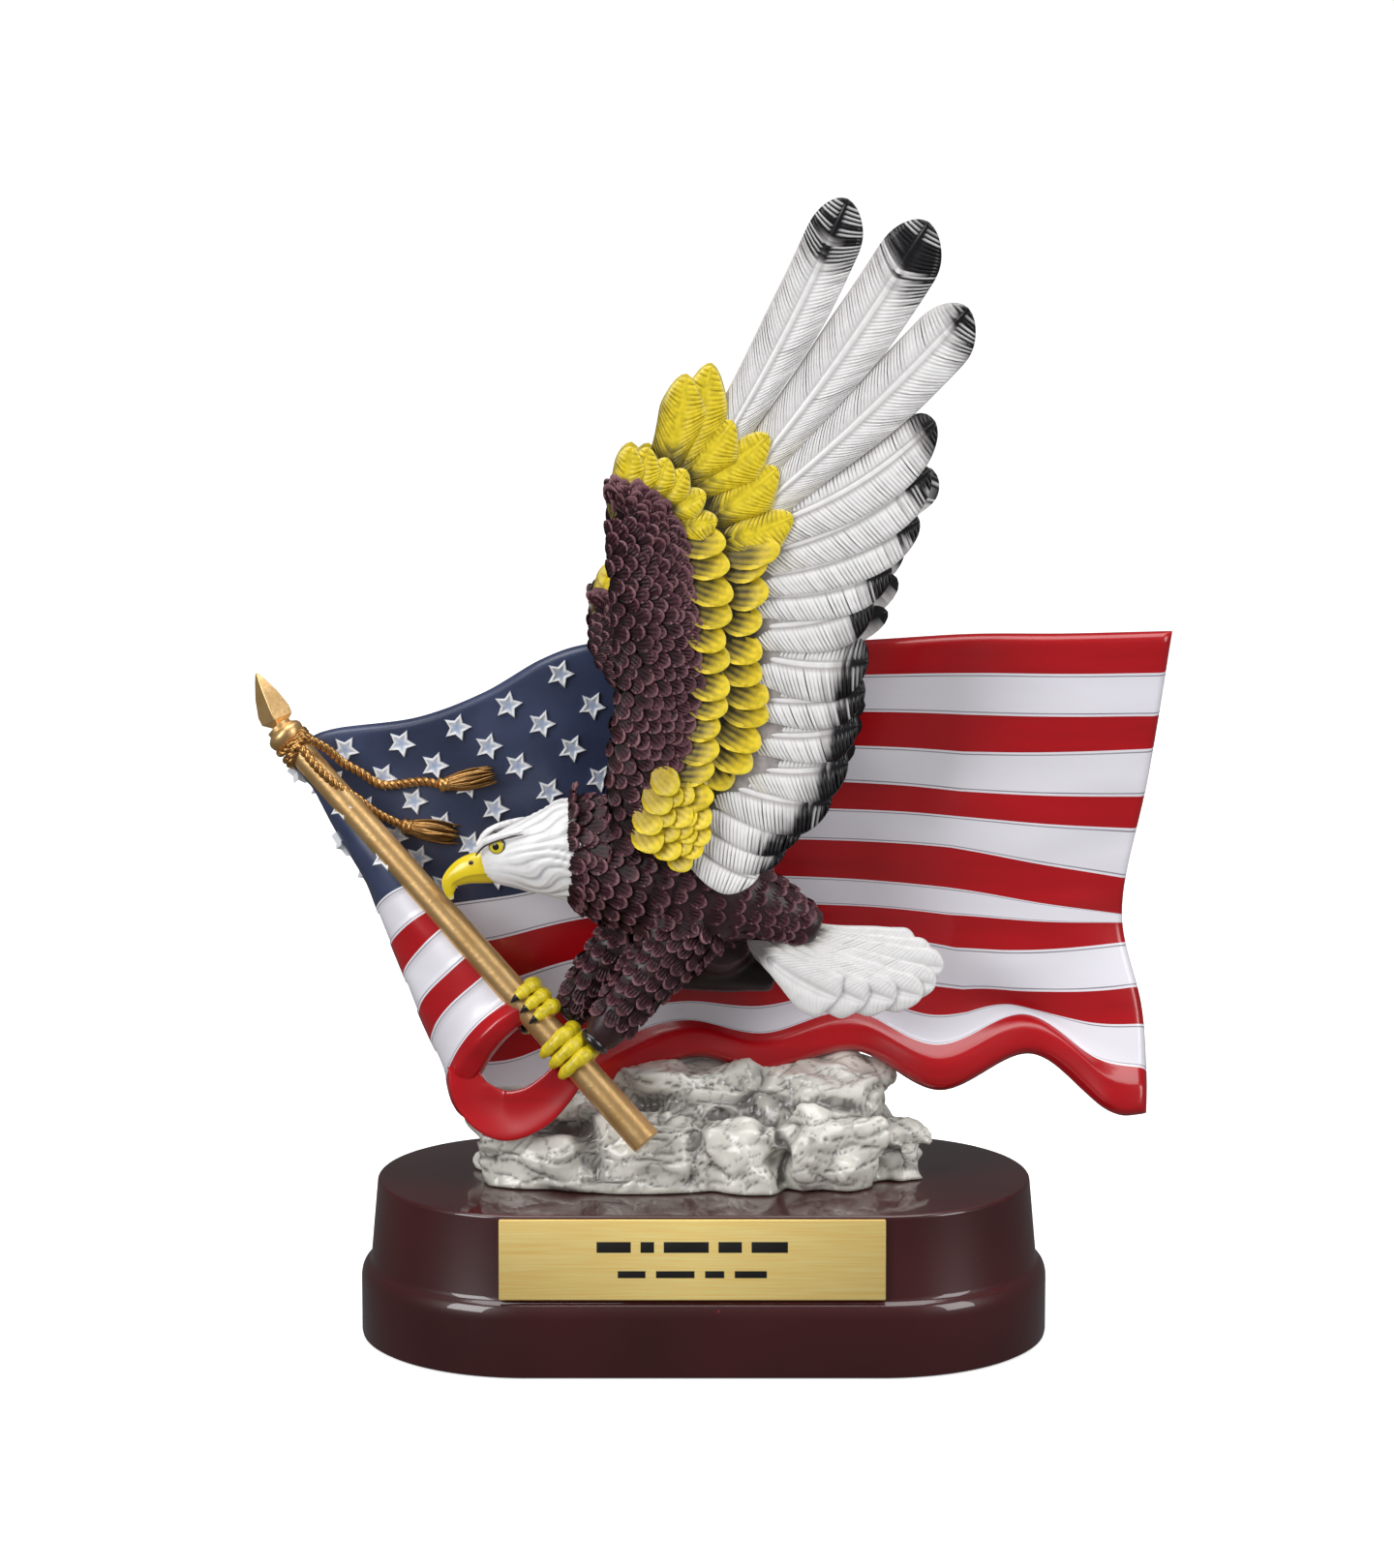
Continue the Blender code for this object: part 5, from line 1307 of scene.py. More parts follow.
def feather_shape(root, tip, face, left, right, *, tilt, arch, edge, barb, relief, quill, sweep, round_from,
                  taper, bow, seed, back_quill=True, upper_round=None, blunt=2.4):
    """One feather as a closed blade: quill, arched vanes with swept barbs, rounded tip and rolled edges.

    Left and right are the widths of its vanes. The rows follow the barbs, three to each barb.
    """
    chooser = np.random.default_rng(seed)
    root, tip, face = np.array(root, float), np.array(tip, float), np.array(face, float)
    length = np.linalg.norm(tip - root)
    along = (tip - root) / length
    side = unit(np.cross(along, face))
    up = np.cross(side, along)
    barbs = max(int(length / barb), 4)
    rows = barbs * 3 + 1
    steps = np.arange(rows)
    t = ((steps // 3 + np.array((0.0, 0.24, 0.76))[steps % 3]) / barbs)[:, None]
    c = np.array(FEATHER_COLUMNS)[None, :]
    begin = np.where(c < 0, upper_round or round_from, round_from)
    late = np.clip((t - begin) / (1 - begin), 0, 1)
    shape = (taper + (1 - taper) * smooth_step(0, 0.55, t)) * np.sqrt(np.maximum(1 - late**blunt, 0.0012))
    width = np.where(c < 0, left, right)
    out = c * width * shape
    swept = sweep * width * np.abs(c) ** 1.35 * shape * (1 - late**2)
    reach = length * t + swept * np.clip(1.15 - t, 0, 1)
    phase = np.arange(rows) % 3
    depth = np.repeat(chooser.uniform(0.45, 1.25, barbs + 1), 3)[:rows]
    split = np.repeat(chooser.random(barbs + 1) < 0.07, 3)[:rows]
    groove = (phase == 0) * depth * np.where(split, 1.9, 1.0)
    vane = np.clip((np.abs(c) - 0.10) / 0.25, 0, 1) * np.clip((1.02 - np.abs(c)) / 0.12, 0.25, 1)
    height = arch * np.sin(np.pi * np.clip(np.abs(c), 0, 1) ** 0.8) * shape
    shaft = np.exp(-(c / 0.07) ** 2) - 0.25 * np.exp(-((np.abs(c) - 0.14) / 0.05) ** 2)
    height = height + quill * shaft * (1 - 0.5 * t)
    height = height - relief * 2 * groove[:, None] * vane
    height = height + tilt * c * shape - edge * (np.abs(c) > 0.97)
    place = root + along * reach[..., None] + side * out[..., None] + up * height[..., None]
    place = place + side * (bow * np.sin(np.pi * t))[..., None]
    columns = c.shape[1]
    under_c = np.array(UNDER_COLUMNS)[None, :]
    middle = columns // 2
    under_out = under_c * width[:, :1].mean() * shape[:, middle - 1:middle + 2]
    under = root + along * (length * t)[..., None] + side * under_out[..., None]
    back = quill * 0.6 if back_quill else 0.0
    ridge = -edge - 0.15 - back * np.exp(-(under_c / 0.09) ** 2) * (1 - 0.5 * t)
    under = under + up * ridge[..., None] + side * (bow * np.sin(np.pi * t))[..., None]
    verts = np.concatenate([place, under], axis=1)
    total = columns + 3
    faces = []
    loop = list(range(columns)) + [columns + 2, columns + 1, columns]
    for i in range(rows - 1):
        for a, b in zip(loop, loop[1:] + loop[:1]):
            faces.append((i * total + a, (i + 1) * total + a, (i + 1) * total + b, i * total + b))
    faces.append(tuple(loop))
    faces.append(tuple((rows - 1) * total + k for k in reversed(loop)))
    info = {
        "t": np.repeat(t, total, axis=1).ravel(),
        "c": np.concatenate([np.repeat(c, rows, axis=0), np.repeat(under_c, rows, axis=0)], axis=1).ravel(),
        "from_tip": np.concatenate([length - reach, np.repeat(length * (1 - t), 3, axis=1)], axis=1).ravel(),
        "groove": np.concatenate([groove[:, None] * vane, np.zeros((rows, 3))], axis=1).ravel(),
        "barb": np.repeat(chooser.uniform(-1, 1, barbs + 1), 3)[:rows].repeat(total),
        "crest": np.repeat((phase == 2)[:, None], total, axis=1).ravel(),
    }
    return verts.reshape(-1, 3), faces, info


def blend(a, b, amount):
    """Colour a turned towards colour b, point by point."""
    return np.asarray(a) + (np.asarray(b) - np.asarray(a)) * np.asarray(amount)[:, None]


def plain(colour, count):
    """The same colour at each of a number of points."""
    return np.ones((count, 1)) * colour


def flight_paint(info, tip_length, tip_side=0.0, streaks=0.5, shade_amount=1.0):
    """White, with painted shade of grey-brown in the grooves, beside the quill, under the neighbour's edge and
    along the lower edge, and a black tip streaked by barbs.
    """
    beside = np.abs(info["c"])
    # Painted shade in the grooves, under the neighbour's edge, along the lower edge and beside the quill
    groove = np.clip(info["groove"] * 0.62 * shade_amount, 0, 0.9)
    colour = blend(plain(FEATHER_WHITE, len(beside)), FEATHER_SHADOW_GREY, groove)
    colour = blend(colour, FEATHER_SHADOW_GREY, 0.8 * shade_amount * smooth_step(-0.60, -0.95, info["c"]))
    colour = blend(colour, FEATHER_SHADE, 0.5 * shade_amount * smooth_step(0.93, 1.0, info["c"]))
    beside_quill = smooth_step(0.20, 0.12, beside) * smooth_step(0.06, 0.10, beside)
    colour = blend(colour, FEATHER_SHADOW_GREY, 0.75 * shade_amount * beside_quill)
    colour = blend(colour, ROOT_CREAM, 0.3 * smooth_step(0.24, 0.06, info["t"]))
    if tip_length > 0:
        limit = tip_length * (1 + 0.28 * info["barb"] + tip_side * info["c"])
        black = smooth_step(limit + 0.9, limit - 0.9, info["from_tip"])
        grey = smooth_step(limit + 5.0, limit, info["from_tip"]) * 0.6
        colour = blend(colour, TIP_GREY, grey)
        colour = blend(colour, TIP_BLACK, black)
        lit = black * info["crest"] * (info["barb"] > 1 - 2 * streaks) * smooth_step(0.1, 0.3, beside)
        inward = smooth_step(1.0, 4.0, info["from_tip"] + streaks * 3)
        colour = blend(colour, FEATHER_WHITE, lit * 0.75 * inward)
    return colour


def covert_paint(info, darkening):
    """Yellow, dark at the root with brushed-on paint and painted shade, with painted shade in the grooves and where
    the neighbour laps over it, and paler rims.
    """
    beside = np.abs(info["c"])
    # Painted shade in the grooves
    colour = blend(plain(YELLOW, len(beside)), YELLOW_GROOVE_SHADE, np.clip(info["groove"] * 0.7, 0, 0.9))
    along = 1 - info["from_tip"] / info["from_tip"].max()
    # Dark at the root, under the tier above: brushed-on paint and painted shade
    reach = darkening * (1 + 0.12 * info["barb"]) * (1 - 0.1 * beside)
    colour = blend(colour, DARK_WASH_AND_SHADE, 0.9 * smooth_step(reach + 0.12, reach - 0.10, along))
    # Painted shadow where the neighbour's edge laps over the feather
    lapped_shadow = smooth_step(-0.6, -0.95, info["c"]) * smooth_step(0.95, 0.6, info["t"])
    colour = blend(colour, DARK_WASH_AND_SHADE, 0.6 * lapped_shadow)
    rim = smooth_step(0.86, 0.97, beside) * smooth_step(0.4, 0.8, info["t"])
    return blend(colour, YELLOW_PALE, 0.5 * rim)


# Eagle: wings

def wing_edges(s):
    """Edges of the tiers at feather number s, from the leading edge to the tip, as X and Z."""
    count = len(FLIGHT_TIPS)
    edges = [spline(edge, s / count) for edge in (LEADING_EDGE, BROWN_EDGE, INNER_COVERTS, OUTER_COVERTS)]
    tips = [FLIGHT_TIPS[0], *FLIGHT_TIPS, np.array(FLIGHT_TIPS[-1]) - (6.0, 3.0)]
    tip = spline(tips, (s + 0.5) / (len(tips) - 1))
    if s < len(FINGER_ROOTS):
        tip = edges[3] + unit(edges[3] - edges[2]) * 1.5
    edges.append(tip)
    return np.array(edges)


def near_place(points):
    """The near wing and the body stay where they are made."""
    return np.asarray(points, float)


def near_back_place(points):
    """The far side of the near wing: the same feathers turned over about its middle."""
    points = np.array(points, float)
    points[..., 1] = WING_MID_Y + 0.6 - (points[..., 1] - WING_MID_Y) * 0.75
    return points


def far_place(points):
    """The far wing: the near one turned over and smaller, leaning back as it rises, with its root behind."""
    d = np.asarray(points, float) - SHOULDER
    rise = d[..., 2] * FAR_SCALE[2]
    tucked = FAR_TUCK * smooth_step(46.0, 32.0, rise)
    return np.stack([FAR_SHOULDER[0] + d[..., 0] * FAR_SCALE[0] + tucked,
                     FAR_SHOULDER[1] - d[..., 1] * FAR_SCALE[1] + FAR_LEAN * rise**2,
                     FAR_SHOULDER[2] + rise], axis=-1)


def far_back_place(points):
    return far_place(near_back_place(points))


def wing_point(s, across, height):
    """A point over the wing: its place among the tiers, and its height towards the viewer."""
    edges = wing_edges(s)
    n = min(int(across), 3)
    p = edges[n] + (edges[n + 1] - edges[n]) * (across - n)
    share = np.linalg.norm(p - edges[0]) / np.linalg.norm(edges[-1] - edges[0])
    return np.array((p[0], WING_MID_Y - height - WING_CURL * share**3, p[1]))


def add_flipped(pile, verts, faces, paint, place):
    """A shape moved by a place function, turned right side out again if that mirrors it."""
    if place in (near_back_place, far_place):
        faces = [face[::-1] for face in faces]
    pile.add(place(verts), faces, paint)


def add_wing_core(pile, place):
    """The body of the wing under its feathers, drawn in at the hand."""
    sections = []
    stations = np.linspace(0.45, len(FLIGHT_TIPS) - 0.05, CORE_STATIONS)
    for s in stations:
        drawn = 1.0 - 0.36 * smooth_step(4.5, 1.5, s)
        sections.append([wing_point(s, across * drawn if across > 1.4 else across, height)
                         for across, height in WING_SKIN])
    verts, faces = closed_tube(np.array(sections))
    across = np.array([a for a, _ in WING_SKIN])[:, None]
    # Painted shade: the core is dark where it shows between the feathers, darkest under the brown arm
    shade = np.where(across < 1.02, SCALE_DARK, np.where(across < 2.9, DARK_WASH_AND_SHADE, FEATHER_SHADE))
    paint = np.concatenate([np.tile(shade, (len(stations), 1)), shade[:1], shade[:1]])
    add_flipped(pile, verts, [face[::-1] for face in faces], paint, place)


def add_flight_feathers(pile, place, barb):
    """Three fingers that stand apart, then the flight feathers, each lapping over the next one down."""
    fingers = zip(FINGER_ROOTS, FLIGHT_TIPS, FINGER_WIDTHS, FINGER_BLACK, FINGER_STREAKS)
    for k, ((root_x, root_z), (x, z), width, black, streaks) in enumerate(fingers):
        root = np.array((root_x, WING_MID_Y - FINGER_DEPTH, root_z))
        tip = np.array((x, WING_MID_Y - WING_CURL - 0.4 + 0.3 * k, z))
        left, right = (width * share for share in FINGER_SHARES)
        verts, faces, info = feather_shape(root, tip, FRONT, left, right, barb=barb * 1.3, seed=k, **FINGER_STYLE)
        add_flipped(pile, verts, faces, flight_paint(info, *black, streaks, 0.55), place)
    for k, ((root_x, root_z), (x, z), width, black, lean) in enumerate(BLADES):
        root = np.array((root_x, WING_MID_Y - BLADE_DEPTH, root_z))
        tip = np.array((x, WING_MID_Y - 0.9 - WING_CURL * 0.85, z))
        root = root - (tip - root) * BLADE_REACH_BACK
        left, right = (width * share for share in BLADE_SHARES)
        verts, faces, info = feather_shape(root, tip, FRONT, left, right, barb=barb * 1.15, seed=10 + k,
                                           bow=0.06 * np.linalg.norm(tip - root), **BLADE_STYLE)
        add_flipped(pile, verts, faces, flight_paint(info, black, lean, 0.18, 0.85), place)


def add_coverts(pile, place, barb, fan):
    """Two tiers of yellow feathers, long at the hand and fans below, and a patch of small ones below them."""
    outer = [(spline(INNER_TIPS, np.interp(k, *OUTER_FEET)), tip) for k, tip in enumerate(OUTER_TIPS)]
    inner = [(spline(BROWN_EDGE, np.interp(k, *INNER_FEET)), tip) for k, tip in enumerate(INNER_TIPS)]
    chooser = np.random.default_rng(77)
    for tier, (height, width, hand_width, reach, blunt) in zip((outer, inner), COVERT_TIERS):
        for k, (foot, tip) in enumerate(tier):
            foot, tip = np.array(foot), np.array(tip)
            ahead = unit(tip - foot)
            if tip[1] > HAND_START:
                foot = foot - ahead * reach
                root = np.array((foot[0], WING_MID_Y - height + 0.9, foot[1]))
                end = np.array((tip[0], WING_MID_Y - height - 0.35, tip[1]))
                long = np.linalg.norm(end - root)
                verts, faces, info = feather_shape(root, end, FRONT, hand_width * 0.48, hand_width * 0.56,
                                                   barb=barb * 1.5, seed=k + int(height * 40),
                                                   bow=0.04 * long, blunt=blunt, **HAND_STYLE)
                add_flipped(pile, verts, faces, covert_paint(info, (reach + 2.5) / long), place)
                continue
            long = np.linalg.norm(tip - foot) + 3.0
            behind = foot - ahead * 3.0
            start = np.array((behind[0], WING_MID_Y - height + 0.5, behind[1] + 0.8))
            direction = unit(np.array((ahead[0], -0.04, ahead[1] - 0.16)))
            normal = unit(FRONT + np.array((-ahead[1], 0.0, ahead[0])) * 0.34)
            add_scale(pile, fan, start, direction, normal, width, long, COVERT_HEIGHT, chooser, YELLOW_SET,
                      place, 0.10)
    top, left, foot, right = (np.array(p) for p in SHOULDER_PATCH)
    for row in range(PATCH_ROWS):
        for column in range(PATCH_COLUMNS):
            u, v = (row + 0.1) / 5.3, (column + (0.5 if row % 2 else 0.0)) / 2.4
            here = top * (1 - u) * (1 - v) + left * u * (1 - v) + foot * u * v + right * (1 - u) * v
            here = here + chooser.uniform(-0.5, 0.5, 2)
            depth = WING_MID_Y - 4.9 + 1.0 * v + 0.3 * u
            start = np.array((here[0] - 2.6, depth, here[1] + 1.6))
            drift = np.append(chooser.uniform(-0.15, 0.15, 2), 0.0)
            direction = unit(np.array((0.86, -0.06, -0.5 - 0.25 * u)) + drift)
            normal = unit(FRONT + np.array((-0.1, 0.0, 0.25)))
            add_scale(pile, fan, start, direction, normal, *PATCH_SCALE, chooser, PATCH_SET, place)


def scale_shape(grooves, root_width=0.50, arch=0.24, darkening=0.55, groove=0.95):
    """A body feather: a scallop that rises to a thin raised rim, with deep grooves fanned from its root."""
    columns = 2 * grooves + 1
    c = np.linspace(-1, 1, columns)[None, :]
    rows = np.vstack([(0.0, root_width, 0.0), SCALE_ROWS])
    t, wide, high = (rows[:, k:k + 1] for k in range(3))
    x = c * wide * 0.5
    y = t - 0.27 * c**2 * t - 0.05 * (np.abs(c) > 0.9) * t
    depth = np.interp(t, (0.2, 0.5, 0.8, 0.93, 1.0), (0.4, 1.0, 1.0, 0.45, 0.3))
    cut = (np.arange(columns) % 2 == 1)[None, :] * depth
    z = high - 0.30 * cut * (high > 0.01) - arch * c**2 * np.minimum(high, 0.9)
    grid = np.stack([x, y, z], axis=-1)
    verts = np.concatenate([grid.reshape(-1, 3), [(0.0, 0.45, -0.35)]])
    last = len(rows) - 1
    faces = [face[::-1] for face in grid_faces(len(rows), columns)]
    rim = list(range(columns)) + [k * columns + columns - 1 for k in range(1, last)]
    rim += [last * columns + k for k in range(columns - 1, -1, -1)]
    rim += [k * columns for k in range(last - 1, 0, -1)]
    centre = len(verts) - 1
    faces += [(a, b, centre) for a, b in zip(rim, rim[1:] + rim[:1])]
    # Paler paint on the raised rim; painted shade in the grooves, over the root that the feather above covers, and
    # near-black on the underside
    lit = smooth_step(0.80, 0.93, t) * (1 - 0.5 * cut) * (high > 0.01)
    painted_shade = 0.85 * smooth_step(darkening, darkening - 0.4, t)
    dark = groove * cut * smooth_step(1.0, 0.6, t) + painted_shade + 0.95 * (high < 0.01)
    lit = np.concatenate([(lit * np.ones_like(c)).ravel(), [0.0]])
    dark = np.concatenate([np.clip(dark * np.ones_like(c), 0, 1).ravel(), [1.0]])
    return verts, faces, lit, dark


def add_scale(pile, shape, foot, direction, normal, wide, long, high, chooser, colours, place, wander=0.3):
    """One copy of the body feather laid on a surface, a little turned and shaded by chance."""
    verts, faces, lit, dark = shape
    right = unit(np.cross(direction, normal))
    direction = unit(np.cross(normal, right))
    turn = chooser.uniform(-wander, wander)
    ahead = direction * math.cos(turn) + right * math.sin(turn)
    right = np.cross(ahead, normal)
    size = 1.0 + chooser.uniform(-0.4, 0.5) * wander
    flat = (verts[:, :1] * right * wide + verts[:, 1:2] * ahead * long) * size
    spots = foot + flat + verts[:, 2:] * normal * high
    # The third colour is the painted shade, laid on where the shape is dark
    base, rim, deep = colours
    shade = 1.0 + chooser.uniform(-0.8, 0.8) * wander
    paint = blend(plain(base, len(verts)) * shade, rim, lit * chooser.uniform(0.25, 0.8))
    add_flipped(pile, spots, faces, blend(paint, deep, dark), place)


def add_arm_scales(pile, small, fan, place, seed):
    """Brown scallops over the arm of a wing, upright at the hand and turning down towards the body."""
    chooser = np.random.default_rng(seed)
    s, row = 0.12, 0
    while s < len(FLIGHT_TIPS) - 0.1:
        edges = wing_edges(s)
        hand = float(smooth_step(3.6, 0.8, s))
        rise = np.interp(s, *ARM_RISE)
        count = max(int(np.linalg.norm(edges[1] - edges[0]) / ARM_SCALE_STEP), 2)
        for k in range(count + 1):
            across = min((k + (0.5 if row % 2 else 0.0) + chooser.uniform(-0.12, 0.12)) / count, 1.0) * 0.93
            across = max(across, 0.02)
            height = np.interp((across, across + 0.05), *ARM_HEIGHT)
            foot = wing_point(s, across, height[0])
            out = wing_point(s, across + 0.05, height[1]) - foot
            above = wing_point(max(s - 0.3, 0), across, height[0])
            up = above - wing_point(min(s + 0.3, len(FLIGHT_TIPS)), across, height[0])
            normal = unit(np.cross(out, up))
            normal = normal if normal[1] < 0 else -normal
            direction = unit(unit(out) + unit(up) * rise)
            edge = float(smooth_step(0.66, 0.9, across))
            wide, long = 3.9 + 1.1 * edge, 4.4 + 0.9 * edge + 3.4 * hand
            shape = fan if edge > 0.5 or hand > 0.6 else small
            foot = foot - direction * long * (0.42 + 0.22 * edge)
            add_scale(pile, shape, foot, direction, normal, wide, long, ARM_SCALE_HEIGHT, chooser, BROWN_SET, place)
        s += ARM_ROW_STEP
        row += 1


# Eagle: body

def rounded_rings(line, rings, sides, flatness=BODY_FLATNESS):
    """Rings of a rounded form along a centre line, as in the frame."""
    packed = np.array([(*centre, radius) for centre, radius in line])
    t = np.linspace(0, 1, rings)
    here = spline(packed, t)
    along = spline(packed, np.minimum(t + 0.02, 1))[:, :3] - spline(packed, np.maximum(t - 0.02, 0))[:, :3]
    side = np.cross(along, (0.0, 1.0, 0.0))
    thin = np.linalg.norm(side, axis=1) < 0.2 * np.linalg.norm(along, axis=1)
    side[thin] = (0.0, 0.0, 1.0)
    side = unit(side)
    across = unit(np.cross(side, along))
    angle = turns(sides)
    offset = side[:, None] * np.cos(angle)[None, :, None]
    offset = offset + across[:, None] * (np.sin(angle) * flatness)[None, :, None]
    return here[:, None, :3] + offset * here[:, None, 3:], unit(along), angle


def make_body_base():
    """Torso, thighs and the support under the belly, fused and smoothed."""
    pile = Pile()
    for line in (TORSO, NEAR_LEG, FAR_LEG, BELLY_SUPPORT, SUPPORT_FOOT):
        rings, _, _ = rounded_rings(line, BODY_RINGS, BODY_RINGS)
        pile.add_tube(rings, BODY_DARK)
    base = pile.finish("eagle_body", [RESIN_PAINT])
    fuse = base.modifiers.new("fuse", "REMESH")
    fuse.mode = "VOXEL"
    fuse.voxel_size = BODY_VOXEL * MM
    smooth = base.modifiers.new("smooth", "SMOOTH")
    smooth.factor = 0.6
    smooth.iterations = 6
    apply_modifiers(base, "fuse", "smooth")
    mesh = base.data
    spots = np.zeros(len(mesh.vertices) * 3)
    mesh.vertices.foreach_get("co", spots)
    spots = spots.reshape(-1, 3) / MM
    if "paint" in mesh.color_attributes:
        mesh.color_attributes.remove(mesh.color_attributes["paint"])
    light = 0.8 + 0.35 * soft_noise(spots, 5.0)
    # The body's own dark paint, turned near-black as painted shade on the support and the lower, far side of the
    # belly
    under = smooth_step(-11.0, -7.0, spots[:, 1]) * smooth_step(97.0, 93.0, spots[:, 2])
    store_paint(mesh, blend(np.array(BODY_DARK) * light[:, None], SUPPORT_SHADE, under))
    mesh.shade_smooth()
    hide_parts("eagle")
    bm = bmesh.new()
    bm.from_mesh(mesh)
    bm.transform(Matrix.Scale(1 / MM, 4))
    tree = BVHTree.FromBMesh(bm)
    bm.free()
    return tree


def add_body_scales(pile, shape, tree, line, step, wide, long, start, stop, seed):
    """Rows of scallops round a rounded mass, staggered, laid on the fused body and pointing along it."""
    chooser = np.random.default_rng(seed)
    length = sum(np.linalg.norm(np.subtract(b[0], a[0])) for a, b in zip(line, line[1:]))
    rows = int(length * (stop - start) / step)
    packed = np.array([(*centre, radius) for centre, radius in line])
    _, along, _ = rounded_rings(line, 101, 4)
    for row in range(rows):
        t = start + (stop - start) * row / max(rows - 1, 1)
        here = spline(packed, np.array([t]))[0]
        ahead = along[min(int(t * 100), 100)]
        side = unit(np.cross(ahead, (0.0, 1.0, 0.0)))
        across = unit(np.cross(side, ahead))
        count = max(int(2 * math.pi * here[3] * 0.93 / (wide * 0.88)), 5)
        for k in range(count):
            angle = 2 * math.pi * (k + 0.5 * (row % 2)) / count
            guess = here[:3] + side * math.cos(angle) * here[3]
            guess = guess + across * math.sin(angle) * here[3] * BODY_FLATNESS
            found, normal, _, gap = tree.find_nearest(Vector(guess))
            if gap > SCALE_GAP and row > 1:
                continue
            foot = np.array(found) - ahead * long * 0.4
            add_scale(pile, shape, foot, ahead, np.array(normal), wide, long, SCALE_HEIGHT, chooser,
                      BROWN_SET, near_place)


# Eagle: head

def make_head():
    """The white head: a smooth face, wavy locks deeper at the neck, and pointed locks over the collar."""
    pile = Pile()
    rings, _, angle = rounded_rings(HEAD, HEAD_RINGS, HEAD_SIDES)
    x = rings[..., 0]
    around = np.broadcast_to(angle, x.shape)
    wave = 0.40 * np.sin(x / 3.4 + 2.5 * np.sin(around * 2.0)) * smooth_step(-50, -38, x)
    drift = soft_noise(rings, 13.0, 4.0) * 1.5 + wave
    u = 21 * around / (2 * np.pi) + drift
    crest = 1 - np.abs(2 * (u - np.floor(u)) - 1)
    fine = 1 - np.abs(2 * ((u * 3) - np.floor(u * 3)) - 1)
    depth = 0.06 + 0.62 * smooth_step(-49.0, -35.0, x)
    swell = 0.75 + 0.5 * soft_noise(rings, 5.0, 9.0)
    lift = depth * swell * (crest**0.8 - 0.45) + depth * 0.28 * (fine - 0.5)
    centre = rings.mean(axis=1, keepdims=True)
    out = unit(rings - centre)
    verts, faces = closed_tube(rings + out * lift[..., None])
    # Painted shade: grey in the troughs between the locks, towards the neck
    hollow = smooth_step(0.42, 0.0, crest) * smooth_step(-50, -40, x)
    paint = blend(plain(FEATHER_WHITE, x.size), HEAD_SHADE_GREY, 0.85 * hollow.ravel())
    pile.add(verts, faces, np.concatenate([paint, [FEATHER_WHITE, FEATHER_WHITE]]))
    for k, turn in enumerate(turns(HEAD_LOCKS)):
        chooser = random.Random(k)
        j = int(turn / (2 * np.pi) * HEAD_SIDES + chooser.uniform(-1.5, 1.5)) % HEAD_SIDES
        first, last = 50 + chooser.randint(-4, 4), 24 + chooser.randint(-7, 7)
        root, tip = rings[first, j] - out[first, j] * 0.2, rings[last, (j + 2) % HEAD_SIDES] + out[last, j]
        lock, lock_faces, info = feather_shape(root, tip, out[(first + last) // 2, j], 1.7, 1.7, seed=400 + k,
                                               bow=chooser.uniform(-0.5, 0.5), **LOCK_STYLE)
        # Painted shade: greyer in the lock's grooves and along its edges
        shade = np.clip(info["groove"] * 0.5, 0, 0.7) + 0.5 * smooth_step(0.85, 1.0, np.abs(info["c"]))
        pile.add(lock, lock_faces, blend(plain(FEATHER_WHITE, len(lock)), HEAD_SHADE_GREY, np.clip(shade, 0, 0.8)))
    head = pile.finish("eagle_head", [WHITE_PAINT])


def make_beak():
    """Hooked upper bill with a step at the mouth line, nostrils and a pale worn ridge."""
    pile = Pile()
    rings, _, angle = rounded_rings(BEAK, BEAK_RINGS, 48, BEAK_FLATNESS)
    centre = rings.mean(axis=1, keepdims=True)
    t = np.linspace(0, 1, BEAK_RINGS)[:, None]
    down = (np.cos(angle)[None, :] * np.where(unit(rings[:, :1] - centre)[..., 2] > 0, 1, -1))
    below = smooth_step(-0.25, -0.38, down) * smooth_step(0.75, 0.6, t)
    rings = centre + (rings - centre) * (1 - 0.10 * below[..., None])
    verts, faces = closed_tube(rings)
    line = smooth_step(0.10, 0.0, np.abs(down + 0.30)) * smooth_step(0.75, 0.6, t)
    paint = blend(plain(BEAK_YELLOW, down.size), BEAK_SHADE, np.clip(line + 0.35 * below, 0, 1).ravel())
    paint = blend(paint, BEAK_PALE, (smooth_step(0.86, 1.0, t) * np.ones_like(down)).ravel() * 0.6)
    pile.add(verts, faces, np.concatenate([paint, [BEAK_YELLOW, BEAK_PALE]]))
    beak = pile.finish("beak", [GLOSS_PAINT])
    dark = Pile()
    for side in (-1, 1):
        x, y, z = NOSTRIL
        slit = [np.array((x, SPINE_Y + side * y, z)) + np.array((0.9, 0, 0.35)) * (u - 0.5) * 1.3
                for u in np.linspace(0, 1, 7)]
        radii = np.sin(np.linspace(0.15, math.pi - 0.15, 7)) * 0.55
        dark.add_tube(tube_points(slit, radii, 12), NOSTRIL_DARK)
    nostrils = dark.finish("nostrils", [GLOSS_PAINT])


